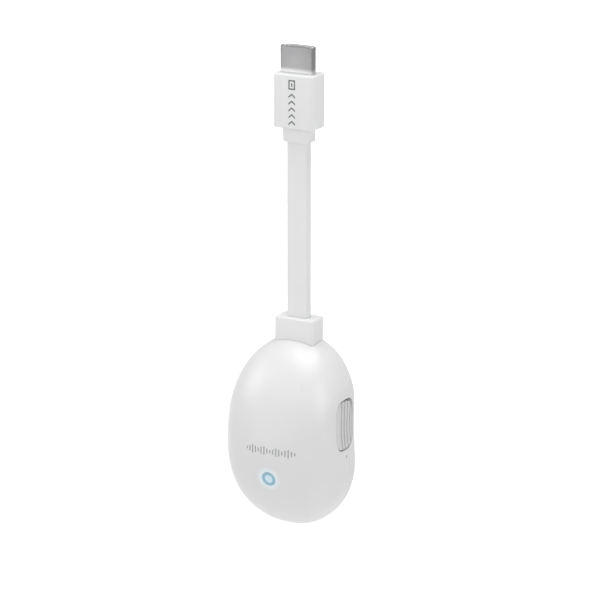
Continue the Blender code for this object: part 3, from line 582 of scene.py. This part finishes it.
def add_base_sheen(material, colour, bottom, top):
    """Make the metal paler where it mirrors the white grip that it comes out of."""
    tree = material.node_tree
    fade = node(tree, "ShaderNodeMapRange", From_Min=top, From_Max=bottom)
    fade.interpolation_type = "SMOOTHSTEP"
    tree.links.new(place_along(tree, "Z"), fade.inputs["Value"])
    tint_base(material, fade.outputs["Result"], colour)


def make_materials():
    """One material for each slot of the record, by the slot's name, and two for the printed marks."""
    ring_centre = (0.0, front_y(0.0, RING_Z, 0.0), RING_Z)
    made = {
        "plug_metal": surface("plug_metal", (0.34, 0.34, 0.345), 0.26, 1.0, 1800.0, 0.05, 0.03),
        "liner": surface("liner", (0.78, 0.78, 0.77), 0.5, relief=0.1),
        "contact": surface("contact", (0.85, 0.62, 0.25), 0.25, 1.0, mottle=0.05),
        "board": surface("board", (0.012, 0.10, 0.045), 0.35, mottle=0.12),
        "lead": surface("lead", (0.5, 0.5, 0.52), 0.5, mottle=0.05),
        "white_soft": surface("white_soft", (0.86, 0.86, 0.865), 0.42, grain=3200.0, relief=0.06),
        "cable_jacket": surface("cable_jacket", (0.86, 0.86, 0.865), 0.48, grain=2600.0, relief=0.08),
        "white_gloss": surface("white_gloss", (0.79, 0.79, 0.795), 0.3, grain=1500.0, relief=0.025,
                               mottle=0.008),
        "white_button": surface("white_button", (0.70, 0.70, 0.705), 0.36, grain=2000.0, relief=0.03),
        "ring": surface("ring", (0.29, 0.41, 0.49), 0.35, glow=((0.16, 0.48, 0.60), 0.22)),
        "lens": surface("lens", (0.49, 0.59, 0.65), 0.3, glow=((0.55, 0.80, 0.90), 0.30)),
        "clear": surface("clear", (0.85, 0.93, 0.96), 0.12, mottle=0.01, Transmission_Weight=0.9),
        "lamp": surface("lamp", (0.75, 0.92, 0.95), 0.3, glow=((0.6, 0.9, 1.0), 1.0)),
        "black_plastic": surface("black_plastic", (0.018, 0.018, 0.02), 0.42, grain=4000.0, relief=0.12),
        "stem": surface("stem", (0.45, 0.07, 0.06), 0.35),
        "can_metal": surface("can_metal", (0.62, 0.62, 0.63), 0.32, 1.0, mottle=0.04),
        "aluminium": surface("aluminium", (0.75, 0.75, 0.77), 0.38, 1.0, mottle=0.03),
        "pad": surface("pad", (0.40, 0.43, 0.52), 0.7, relief=0.15),
        "ferrite": surface("ferrite", (0.05, 0.05, 0.055), 0.7, relief=0.2, mottle=0.1),
        "antenna": surface("antenna", (0.80, 0.48, 0.30), 0.3, 1.0, mottle=0.06),
        "header": surface("header", (0.82, 0.78, 0.66), 0.45),
        "screw": surface("screw", (0.20, 0.20, 0.21), 0.35, 1.0, mottle=0.08),
        "print": surface("print", (0.40, 0.40, 0.41), 0.5, relief=0.05),
        "grip_print": surface("grip_print", (0.17, 0.17, 0.175), 0.5, relief=0.05),
    }
    add_base_sheen(made["plug_metal"], (0.74, 0.74, 0.74), 0.1 * MM, 2.4 * MM)
    add_groove_shade(made["white_button"], (0.40, 0.40, 0.405))
    add_halo(made["white_gloss"], ring_centre, (0.30, 0.80, 1.0), 5.6 * MM, 0.15)
    return made


def dress_frame(materials):
    """Give each CAD node the material of its slot."""
    for row in frame["record"]["subparts"]:
        obj = bpy.data.objects[row["node"]]
        obj.data.materials.clear()
        obj.data.materials.append(materials[row["material_slot"]])


def settle(piece, body, slot_name, *nodes):
    """Ride a finished piece on its body, and hide the CAD nodes that it stands for. slot_name is not used."""
    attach(piece, body)
    if nodes:
        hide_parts(*nodes)
    return piece


# Camera, lights and floor

def make_camera():
    """The camera, aimed a little below the middle of the whole object."""
    direction = Vector((sin(CAMERA_AZIMUTH) * cos(CAMERA_ELEVATION),
                        -cos(CAMERA_AZIMUTH) * cos(CAMERA_ELEVATION),
                        sin(CAMERA_ELEVATION)))
    target = Vector((0.0, 0.0, COLLAR_HIGH.z + 6.5 * MM))
    data = bpy.data.cameras.new("camera")
    data.lens = CAMERA_LENS
    data.shift_x = CAMERA_SHIFT
    camera = bpy.data.objects.new("camera", data)
    bpy.context.scene.collection.objects.link(camera)
    camera.location = target + direction * CAMERA_DISTANCE
    camera.rotation_mode = "QUATERNION"
    camera.rotation_quaternion = (-direction).to_track_quat("-Z", "Y")
    bpy.context.scene.camera = camera


def add_light(name, place, aim, size, power, spread=pi):
    """A soft square light."""
    data = bpy.data.lights.new(name, "AREA")
    data.shape = "SQUARE"
    data.size = size
    data.energy = power
    data.spread = spread
    light = bpy.data.objects.new(name, data)
    bpy.context.scene.collection.objects.link(light)
    light.location = place
    light.visible_camera = False
    light.rotation_mode = "QUATERNION"
    light.rotation_quaternion = (Vector(aim) - Vector(place)).to_track_quat("-Z", "Y")


def make_studio():
    """A pale floor well below the hanging object, a pale surrounding, a soft sky and soft square lights."""
    floor_z = cad_bounds[0].z - FLOOR_DROP
    bm = bmesh.new()
    bmesh.ops.create_grid(bm, x_segments=4, y_segments=4, size=FLOOR_REACH)
    bmesh.ops.translate(bm, verts=bm.verts, vec=(0.0, 0.0, floor_z))
    paint = surface("floor_paint", (0.83, 0.83, 0.83), 0.9, grain=60.0, relief=0.0, mottle=0.004)
    add_mesh("floor", bm, paint)

    world = bpy.data.worlds.new("studio")
    world.use_nodes = True
    tree = world.node_tree
    tree.nodes["Background"].inputs["Color"].default_value = (1.0, 1.0, 1.0, 1.0)
    direction = tree.nodes.new("ShaderNodeSeparateXYZ")
    tree.links.new(tree.nodes.new("ShaderNodeTexCoord").outputs["Generated"], direction.inputs["Vector"])
    height = tree.nodes.new("ShaderNodeMapRange")
    height.interpolation_type = "SMOOTHSTEP"
    height.inputs["From Max"].default_value = WORLD_FADE
    height.inputs["To Min"].default_value = WORLD_HORIZON
    height.inputs["To Max"].default_value = WORLD_TOP
    tree.links.new(direction.outputs["Z"], height.inputs["Value"])
    tree.links.new(height.outputs["Result"], tree.nodes["Background"].inputs["Strength"])
    bpy.context.scene.world = world
    bpy.context.scene.view_settings.view_transform = "Standard"

    middle = (cad_bounds[0] + cad_bounds[1]) / 2
    sky = bpy.data.lights.new("sky_light", "SUN")      # a sun shines straight down where it isn't turned
    sky.energy = SKY_ENERGY
    sky.angle = SKY_ANGLE
    bpy.context.scene.collection.objects.link(bpy.data.objects.new("sky_light", sky))
    add_light("top_light", (0.0, 0.0, 1.25), middle, size=0.9, power=4.8)
    add_light("key_light", (1.3, -0.75, 0.7), middle, size=0.9, power=6.9)
    add_light("fill_light", (-1.35, -0.75, 0.7), middle, size=0.9, power=6.4)
    add_light("low_light", (-0.7, -1.3, -0.25), (0.0, 0.0, 0.0), size=0.55, power=0.95)
    # This one only whitens the floor behind the object.
    add_light("back_light", (-0.8, 1.45, 0.95), (-0.8, 1.45, floor_z), size=1.7, power=10.0,
              spread=radians(64))


# Plug and cable

def make_cable(materials):
    """The flat cable, from just inside the receiver's collar up to just inside the strain relief."""
    size = (CABLE_HIGH.x - CABLE_LOW.x, CABLE_HIGH.y - CABLE_LOW.y)
    span = CABLE_HIGH.z - CABLE_LOW.z
    heights = [CABLE_LOW.z + span * k / CABLE_STEPS for k in range(CABLE_STEPS + 1)]
    outline = rounded_rectangle(*size, CABLE_CORNER, steps=8)
    cable = skin("cable", [level_ring(outline, z) for z in heights], materials["cable_jacket"])
    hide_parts("flat_cable")
    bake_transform(cable)
    return cable, heights, size


def plug_outline(shrink):
    """The metal plug's outline: a rectangle whose two rear corners are cut off, drawn in by shrink."""
    half = (PLUG_HIGH.x - PLUG_LOW.x) / 2 - shrink
    half_thickness = (PLUG_HIGH.y - PLUG_LOW.y) / 2 - shrink
    # A cut corner's two ends move in by less than the straight faces do.
    narrow = PLUG_REAR_HALF - shrink * 0.6
    shoulder = PLUG_SHOULDER - (PLUG_HIGH.y - PLUG_LOW.y) / 2 - shrink * 0.2
    corners = ((half, -half_thickness), (half, shoulder), (narrow, half_thickness))
    corners += tuple((-x, y) for x, y in reversed(corners))
    return rounded_corners(corners, max(PLUG_CORNER - shrink * 0.6, 0.15 * MM))


def rounded_corners(corners, radius, steps=6):
    """A convex outline with an arc at each of its corners."""
    points = []
    count = len(corners)
    for k in range(count):
        corner = Vector(corners[k])
        before = (Vector(corners[k - 1]) - corner).normalized()
        after = (Vector(corners[(k + 1) % count]) - corner).normalized()
        half_angle = before.angle(after) / 2
        centre = corner + (before + after).normalized() * radius / sin(half_angle)
        start = corner + before * radius / tan(half_angle) - centre
        end = corner + after * radius / tan(half_angle) - centre
        turn = start.angle_signed(end)
        for step in range(steps + 1):
            arm = start.copy()
            arm.rotate(Matrix.Rotation(-turn * step / steps, 2))
            points.append(tuple(centre + arm))
    return points


def make_plug_shell(materials):
    """The drawn metal shell, with a rolled lip round its mouth and latch windows in its rear face."""
    def lip_ring(shrink, turn):
        return level_ring(plug_outline(shrink), PLUG_HIGH.z - SHELL_LIP * (1 - sin(turn)))

    turns = [pi / 2 * k / 5 for k in range(6)]
    rings = [level_ring(plug_outline(0.0), PLUG_LOW.z)]
    rings += [lip_ring(SHELL_LIP * (1 - cos(turn)), turn) for turn in turns]
    rings += [lip_ring(SHELL_WALL - SHELL_LIP * (1 - cos(turn)), turn) for turn in reversed(turns)]
    rings.append(level_ring(plug_outline(SHELL_WALL), PLUG_LOW.z))
    shell = skin("plug_metal_shell", rings, materials["plug_metal"], closed=True)
    for side in (-1, 1):
        centre = (side * WINDOW_PLACE[0], WINDOW_PLACE[1])
        window = rounded_rectangle(*WINDOW_SIZE, WINDOW_CORNER, centre, 3)
        ends = (PLUG_HIGH.y - WINDOW_REACH, PLUG_HIGH.y + WINDOW_REACH)
        combine(shell, skin("window_cutter", [front_plane(window, y) for y in ends]))
    smooth(shell)
    return settle(shell, "plug", "plug_metal", "plug_shell")


def make_liner(materials):
    """The pale insulator in the plug's mouth, with its slot and a channel for each contact."""
    outline = plug_outline(LINER_INSET)
    liner = skin("plug_liner", [level_ring(outline, z) for z in (LINER_LOW.z, PLUG_HIGH.z - LINER_RECESS)],
                 materials["liner"])
    top = PLUG_HIGH.z + MM
    slot = rounded_rectangle(*SLOT_SIZE, SLOT_CORNER)
    combine(liner, skin("slot_cutter", [level_ring(slot, z) for z in (SLOT_FLOOR_Z, top)]))
    for row, count in CHANNEL_ROWS:
        for k in range(count):
            place = ((k - (count - 1) / 2) * CHANNEL_PITCH, row * CHANNEL_ROW_Y)
            channel = rounded_rectangle(*CHANNEL_SIZE, CHANNEL_CORNER, place, 2)
            combine(liner, skin("channel_cutter", [level_ring(channel, z) for z in (LINER_LOW.z - MM, top)]))
    smooth(liner)
    return settle(liner, "plug", "liner", "plug_insulator")


def make_grip(materials):
    """The moulded grip and the narrower strain relief under it."""
    size = (GRIP_HIGH.x - GRIP_LOW.x, GRIP_HIGH.y - GRIP_LOW.y)
    grip = rounded_prism("plug_grip", size, GRIP_CORNER, GRIP_LOW.z, GRIP_HIGH.z, GRIP_EDGE,
                         materials["white_soft"])
    mouth = plug_outline(-MOUTH_GROW)
    heights = (GRIP_HIGH.z - MOUTH_DEPTH, GRIP_HIGH.z + MM)
    combine(grip, skin("mouth_cutter", [level_ring(mouth, z) for z in heights]))
    throat = rounded_rectangle(*THROAT_SIZE, THROAT_CORNER)
    heights = (GRIP_LOW.z - MM, GRIP_HIGH.z - THROAT_DEPTH)
    combine(grip, skin("throat_cutter", [level_ring(throat, z) for z in heights]))
    smooth(grip)
    settle(grip, "plug", "white_soft", "plug_overmold")

    relief_size = (RELIEF_HIGH.x - RELIEF_LOW.x, RELIEF_HIGH.y - RELIEF_LOW.y)
    relief = rounded_prism("cable_relief", relief_size, RELIEF_CORNER, RELIEF_LOW.z,
                           GRIP_LOW.z + RELIEF_OVERLAP, RELIEF_EDGE, materials["white_soft"],
                           taper=RELIEF_TAPER)
    combine(relief, cable_cutter("relief_cutter"))
    smooth(relief)
    settle(relief, "plug", "white_soft", "strain_relief")
    return grip, relief


def cable_cutter(name):
    """The passage for the cable, with its clearance."""
    size = (CABLE_HIGH.x - CABLE_LOW.x + 2 * FIT, CABLE_HIGH.y - CABLE_LOW.y + 2 * FIT)
    outline = rounded_rectangle(*size, CABLE_CORNER + FIT)
    return skin(name, [level_ring(outline, z) for z in (EGG_BOTTOM, GRIP_HIGH.z)])


def make_collar(materials):
    """The collar that carries the cable into the body."""
    collar = rounded_prism("body_collar", COLLAR_SIZE, COLLAR_CORNER, COLLAR_LOW.z + COLLAR_FOOT,
                           COLLAR_HIGH.z, COLLAR_EDGE, materials["white_soft"])
    combine(collar, cable_cutter("collar_cutter"))
    smooth(collar)
    return settle(collar, "receiver", "white_soft", "cable_collar")


# Body

def egg_half(name, keep_front, material):
    """One half of the body as a solid, with its outer edge rounded at the seam.

    The egg is straightened along the seam, cut by a plane, and bowed again."""
    bm = egg_bmesh(0.0, EGG_LEVELS, EGG_SEGMENTS)
    side = -1 if keep_front else 1
    offset = side * SEAM_GAP / 2
    for vert in bm.verts:
        vert.co.y -= seam_y(vert.co.z) + offset
    for share in (1.0, 0.7, 0.45, 0.25, 0.1, 0.0):
        everything = bm.verts[:] + bm.edges[:] + bm.faces[:]
        place = (0.0, side * share * SEAM_ROUND, 0.0)
        bmesh.ops.bisect_plane(bm, geom=everything, dist=SLICE_NEAR, plane_co=place, plane_no=(0.0, 1.0, 0.0))
    bm.normal_update()
    moves = []
    for vert in bm.verts:
        depth = vert.co.y * side
        if -ON_SLICE < depth < SEAM_ROUND:
            drop = SEAM_ROUND - sqrt(max(SEAM_ROUND ** 2 - (SEAM_ROUND - depth) ** 2, 0.0))
            moves.append((vert, Vector((vert.normal.x, 0.0, vert.normal.z)).normalized() * drop))
    for vert, move in moves:
        vert.co -= move
    outside = [vert for vert in bm.verts if vert.co.y * side < -ON_SLICE]
    bmesh.ops.delete(bm, geom=outside, context="VERTS")
    rim = [edge for edge in bm.edges if edge.is_boundary]
    cap = bmesh.ops.edgeloop_fill(bm, edges=rim)["faces"]
    for z in egg_heights(0.0, EGG_LEVELS)[::4]:
        strips = set(cap)
        for face in cap:
            strips.update(face.edges)
            strips.update(face.verts)
        result = bmesh.ops.bisect_plane(bm, geom=list(strips), dist=SLICE_NEAR, plane_co=(0.0, 0.0, z),
                                        plane_no=(0.0, 0.0, 1.0))
        cap = [item for item in result["geom"] if isinstance(item, bmesh.types.BMFace)]
    for vert in bm.verts:
        vert.co.y += seam_y(vert.co.z) + offset
    return add_mesh(name, bm, material)


def opening_cutter(name, outline_at, ring_at, flat_at, outside, inside):
    """A cutter that leaves a rounded edge where it meets the surface.

    outline_at gives the outline grown by a width, and ring_at lays an outline on the surface at an inset.
    flat_at lays it in a plane, for the cutter's two ends, outside and inside."""
    start = radians(18)
    flare = 1.2 * MM
    wide = outline_at(EDGE * (1 - sin(start)) + flare * cos(start))
    rings = [flat_at(wide, outside), ring_at(wide, EDGE * (1 - cos(start)) - flare * sin(start))]
    steps = 6
    for k in range(steps + 1):
        turn = start + (pi / 2 - start) * k / steps
        rings.append(ring_at(outline_at(EDGE * (1 - sin(turn))), EDGE * (1 - cos(turn))))
    rings.append(flat_at(outline_at(0.0), inside))
    return skin(name, rings)


def side_plane(outline, x):
    """An outline in Y and Z at one place in X."""
    return [(x, y, z) for y, z in outline]


def front_plane(outline, y):
    """An outline in X and Z at one place in Y."""
    return [(x, y, z) for x, z in outline]


def button_outline(grow, droop=0.0, slack=0.0):
    """The button's outline in Y and Z, grown by a clearance.

    Its top is lowered by droop towards the rear, and its front edge set back by slack."""
    power = 2.0 / BUTTON_SQUARENESS
    half_y = (BUTTON_Y[1] - BUTTON_Y[0]) / 2 + grow
    half_z = (BUTTON_Z[1] - BUTTON_Z[0]) / 2 + grow
    points = []
    for k in range(BUTTON_STEPS):
        turn = 2 * pi * (k + 0.5) / BUTTON_STEPS
        across = copysign(abs(cos(turn)) ** power, cos(turn))
        up = copysign(abs(sin(turn)) ** power, sin(turn))
        fall = droop * (1 + across) / 2 * max(up, 0.0)
        y = sum(BUTTON_Y) / 2 + half_y * across + slack * max(-across, 0.0)
        points.append((y, sum(BUTTON_Z) / 2 + half_z * up - fall))
    return points


def button_ends(y):
    """The lowest and the highest place of the button at one place in Y."""
    across = (2 * y - BUTTON_Y[0] - BUTTON_Y[1]) / (BUTTON_Y[1] - BUTTON_Y[0])
    up = max(1 - abs(across) ** BUTTON_SQUARENESS, 0.0) ** (1 / BUTTON_SQUARENESS)
    middle = sum(BUTTON_Z) / 2
    reach = (BUTTON_Z[1] - BUTTON_Z[0]) / 2 * up
    return middle - reach, middle + reach - BUTTON_DROOP * (1 + across) / 2 * up


def button_cutter(name):
    """The opening for the button. The seam runs across it."""
    return opening_cutter(name, lambda grow: button_outline(BUTTON_FIT + grow), side_ring, side_plane,
                          *SIDE_CUT)


def make_front_shell(materials):
    """The front half of the body with all its openings."""
    shell = egg_half("front_body", True, materials["white_gloss"])
    combine(shell, add_mesh("front_cavity", egg_bmesh(FRONT_WALL, CAVITY_LEVELS, CAVITY_SEGMENTS), None))

    outline = rounded_rectangle(*SOCKET_PAD, SOCKET_PAD_CORNER, (0.0, SOCKET_PAD_Y))
    heights = (EGG_BOTTOM - MM, EGG_BOTTOM + SOCKET_PAD_HEIGHT)
    pad = skin("socket_pad", [level_ring(outline, z) for z in heights])
    limit = add_mesh("pad_limit", egg_bmesh(SOCKET_PAD_INSET, CAVITY_LEVELS, CAVITY_SEGMENTS), None)
    combine(pad, limit, "INTERSECT")
    combine(shell, pad, "UNION")
    face = rounded_rectangle(*SOCKET_FACE, SOCKET_FACE_CORNER, (0.0, SOCKET_FACE_Y))
    combine(shell, skin("face_cutter", [level_ring(face, EGG_BOTTOM - MM), level_ring(face, SOCKET_FACE_Z)]))
    socket_size = (SOCKET_HIGH.x - SOCKET_LOW.x + 2 * FIT, SOCKET_HIGH.y - SOCKET_LOW.y + 2 * FIT)
    socket_centre = (0.0, (SOCKET_HIGH.y + SOCKET_LOW.y) / 2)
    rings = []
    for grow, z in ((0.3, -1.0), (0.3, 0.0), (0.1, 0.12), (0.0, 0.32), (0.0, SOCKET_DEPTH)):
        size = [side + 2 * grow * MM for side in socket_size]
        outline = rounded_rectangle(*size, size[1] / 2 - 0.02 * MM, socket_centre, 12)
        rings.append(level_ring(outline, SOCKET_FACE_Z + z * MM))
    combine(shell, skin("socket_cutter", rings))

    combine(shell, button_cutter("front_button_cutter"))

    def pin_outline(grow):
        return circle(PIN_RADIUS + grow * SMALL_EDGE, PIN_CENTRE)

    def ring_outline(grow):
        return circle(RING_OUTER + RING_FIT + grow * SMALL_EDGE, (0.0, RING_Z), 64)

    combine(shell, opening_cutter("pin_cutter", pin_outline, side_ring, side_plane, *SIDE_CUT))
    combine(shell, opening_cutter("ring_cutter", ring_outline, front_ring, front_plane, *FRONT_CUT))
    combine(shell, collar_cutter())
    smooth(shell)
    return settle(shell, "receiver", "white_gloss", "front_shell")


def collar_cutter():
    """The opening in the body's top for the collar."""
    outline = rounded_rectangle(*[side + 2 * FIT for side in COLLAR_SIZE], COLLAR_CORNER + FIT)
    return skin("collar_opening", [level_ring(outline, z) for z in (COLLAR_LOW.z, COLLAR_HIGH.z)])


def make_rear_shell(materials):
    """The rear half of the body."""
    shell = egg_half("rear_body", False, materials["white_gloss"])
    combine(shell, add_mesh("rear_cavity", egg_bmesh(REAR_WALL, CAVITY_LEVELS, CAVITY_SEGMENTS), None))
    combine(shell, button_cutter("rear_button_cutter"))
    combine(shell, collar_cutter())
    smooth(shell)
    return settle(shell, "receiver", "white_gloss", "rear_shell")


# Button

def groove_drop(y, z):
    """How far the grooves lower the button's face at one place."""
    drop = 0.0
    for k in range(GROOVE_COUNT):
        across = abs(y - GROOVE_FIRST_Y - k * GROOVE_PITCH) / (GROOVE_WIDTH / 2)
        if across < 1:
            drop = GROOVE_DEPTH * (0.5 + 0.5 * cos(pi * across)) ** GROOVE_BLUNTNESS
    low, high = button_ends(y)
    margin = min(z - low, high - z) - GROOVE_END
    fade = min(max(margin / GROOVE_FADE, 0.0), 1.0)
    return drop * fade * fade * (3 - 2 * fade)


def make_button(materials):
    """The ribbed button: a flat band at the front, then grooves, all following the finger hollow."""
    columns = 150
    rows = 90
    margin = MM

    def places(ends, count):
        return [ends[0] - margin + (ends[1] - ends[0] + 2 * margin) * k / count for k in range(count + 1)]

    ys = places(BUTTON_Y, columns)
    zs = places(BUTTON_Z, rows)
    bm = bmesh.new()
    face = [[bm.verts.new((side_x(y, z, BUTTON_INSET) - groove_drop(y, z), y, z)) for y in ys] for z in zs]
    back = [[bm.verts.new((BUTTON_BACK, y, z)) for y in ys] for z in zs]
    for sheet in (face, back):
        for lower, upper in zip(sheet, sheet[1:]):
            for k in range(columns):
                bm.faces.new((lower[k], lower[k + 1], upper[k + 1], upper[k]))
    edge = [(0, k) for k in range(columns)] + [(k, columns) for k in range(rows)]
    edge += [(rows, k) for k in range(columns, 0, -1)] + [(k, 0) for k in range(rows, 0, -1)]
    for (row, column), (next_row, next_column) in zip(edge, edge[1:] + edge[:1]):
        bm.faces.new((face[row][column], face[next_row][next_column],
                      back[next_row][next_column], back[row][column]))
    button = add_mesh("ribbed_button", bm, materials["white_button"])

    rounding = 0.5 * MM
    end = radians(72)
    rings = [side_plane(button_outline(0.0, BUTTON_DROOP, BUTTON_SLACK), BUTTON_BACK - MM)]
    steps = 6
    for k in range(steps + 1):
        turn = end * k / steps
        rings.append(side_ring(button_outline(-rounding * (1 - cos(turn)), BUTTON_DROOP, BUTTON_SLACK),
                               BUTTON_INSET + rounding * (1 - sin(turn))))
    reach = 1.0 * MM
    narrow = button_outline(-rounding * (1 - cos(end)) - reach * sin(end), BUTTON_DROOP, BUTTON_SLACK)
    rings.append(side_ring(narrow, BUTTON_INSET + rounding * (1 - sin(end)) - reach * cos(end)))
    rings.append(side_plane(narrow, SIDE_CUT[0]))
    combine(button, skin("button_limit", rings), "INTERSECT")
    smooth(button, 40)
    return settle(button, "side_button", "white_button", "side_button")


# Light ring

def turned_on_front(name, profile, material, closed):
    """A round piece set in the front. The profile lists (radius, inset from the surface)."""
    rings = [front_ring_true(circle(radius, (0.0, RING_Z), 72), inset) for radius, inset in profile]
    return skin(name, rings, material, closed)


def front_ring_true(outline, inset):
    """An outline in X and Z on the front, moved straight back by inset."""
    return [(x, front_y(x, z, 0.0) + inset, z) for x, z in outline]


def make_light(materials):
    """The lit ring and the lens in its middle."""
    edge = 0.14 * MM
    deep = 2.6 * MM
    turns = [pi / 2 * k / 4 for k in range(5)]
    face = 0.06 * MM
    profile = [(RING_OUTER, deep)]
    profile += [(RING_OUTER - edge * (1 - cos(turn)), face + edge * (1 - sin(turn))) for turn in turns]
    profile.append(((RING_OUTER + RING_INNER) / 2, face))
    turned_back = turns[::-1]
    profile += [(RING_INNER + edge * (1 - cos(turn)), face + edge * (1 - sin(turn))) for turn in turned_back]
    profile.append((RING_INNER, deep))
    ring = turned_on_front("glow_ring", profile, materials["ring"], True)
    settle(ring, "receiver", "ring", "light_ring")

    profile = [(LENS_RADIUS, deep)]
    profile += [(LENS_RADIUS - edge * (1 - cos(turn)), face + edge * (1 - sin(turn))) for turn in turns]
    profile += [(LENS_RADIUS * share, face) for share in (0.75, 0.5, 0.25, 0.05)]
    lens = turned_on_front("glow_lens", profile, materials["lens"], False)
    settle(lens, "receiver", "lens", "ring_lens")


# Printed marks

def printed_patch(name, outline, lay, material, lift=0.03 * MM, sink=0.10 * MM):
    """A thin printed shape laid on a surface."""
    return skin(name, [lay(outline, sink), lay(outline, -lift)], material)


def join_meshes(name, objects):
    """One object from several."""
    bm = bmesh.new()
    for obj in objects:
        bm.from_mesh(obj.data)
    material = objects[0].data.materials[0]
    for obj in objects:
        bpy.data.objects.remove(obj)
    return add_mesh(name, bm, material)


def make_front_mark(materials):
    """A row of thin upright bars, as on a sound level display."""
    bars = []
    for k, height in enumerate(FRONT_MARK_HEIGHTS):
        x = FRONT_MARK_X + (k - (len(FRONT_MARK_HEIGHTS) - 1) / 2) * FRONT_MARK_PITCH
        outline = rounded_rectangle(FRONT_MARK_STROKE, height * MM, FRONT_MARK_STROKE * 0.45,
                                    (x, FRONT_MARK_Z), 4)
        bars.append(printed_patch("bar", outline, front_ring, materials["print"]))
    return settle(join_meshes("level_mark", bars), "receiver", "white_gloss")


def make_grip_mark(materials):
    """A connector pictogram and a column of chevrons, printed on the grip's front."""
    half = GRIP_MARK_HALF
    stroke = GRIP_MARK_STROKE
    thickness = stroke * 1.3            # of a chevron's arm, measured upright
    patches = []

    def lay(outline, inset):
        return [(x, GRIP_LOW.y + inset, z) for x, z in outline]

    def add_stroke(outline):
        patches.append(printed_patch("stroke", outline, lay, materials["grip_print"], sink=0.05 * MM))

    for k in range(CHEVRON_COUNT):
        tip = GRIP_HIGH.z - (CHEVRON_FIRST + CHEVRON_PITCH * k) * MM
        foot = tip - CHEVRON_RISE
        for side in (-1, 1):
            end = GRIP_MARK_X + side * half
            add_stroke([(GRIP_MARK_X, tip), (GRIP_MARK_X, tip - thickness),
                        (end, foot - thickness), (end, foot)])
    top = GRIP_HIGH.z - SOCKET_MARK_DROP
    middle = top - SOCKET_MARK_HEIGHT / 2
    bars = (
        (2 * half, stroke, 0.0, top),
        (2 * half, stroke, 0.0, top - SOCKET_MARK_HEIGHT),
        (stroke, SOCKET_MARK_HEIGHT, -half + stroke / 2, middle),
        (stroke, SOCKET_MARK_HEIGHT, half - stroke / 2, middle),
        (stroke, 1.4 * MM, 0.0, middle),
    )
    for width, height, x, z in bars:
        add_stroke(rounded_rectangle(width, height, 0.05 * MM, (GRIP_MARK_X + x, z), 2))
    return settle(join_meshes("connector_mark", patches), "plug", "white_soft")


make_camera()
materials = make_materials()
dress_frame(materials)
cable, cable_heights, cable_size = make_cable(materials)
plug_metal = make_plug_shell(materials)
liner = make_liner(materials)
grip, relief = make_grip(materials)
[(0.0, 0.0, z) for z in cable_heights]
make_collar(materials)
make_front_shell(materials)
make_rear_shell(materials)
make_button(materials)
make_light(materials)
make_front_mark(materials)
make_grip_mark(materials)
make_studio()
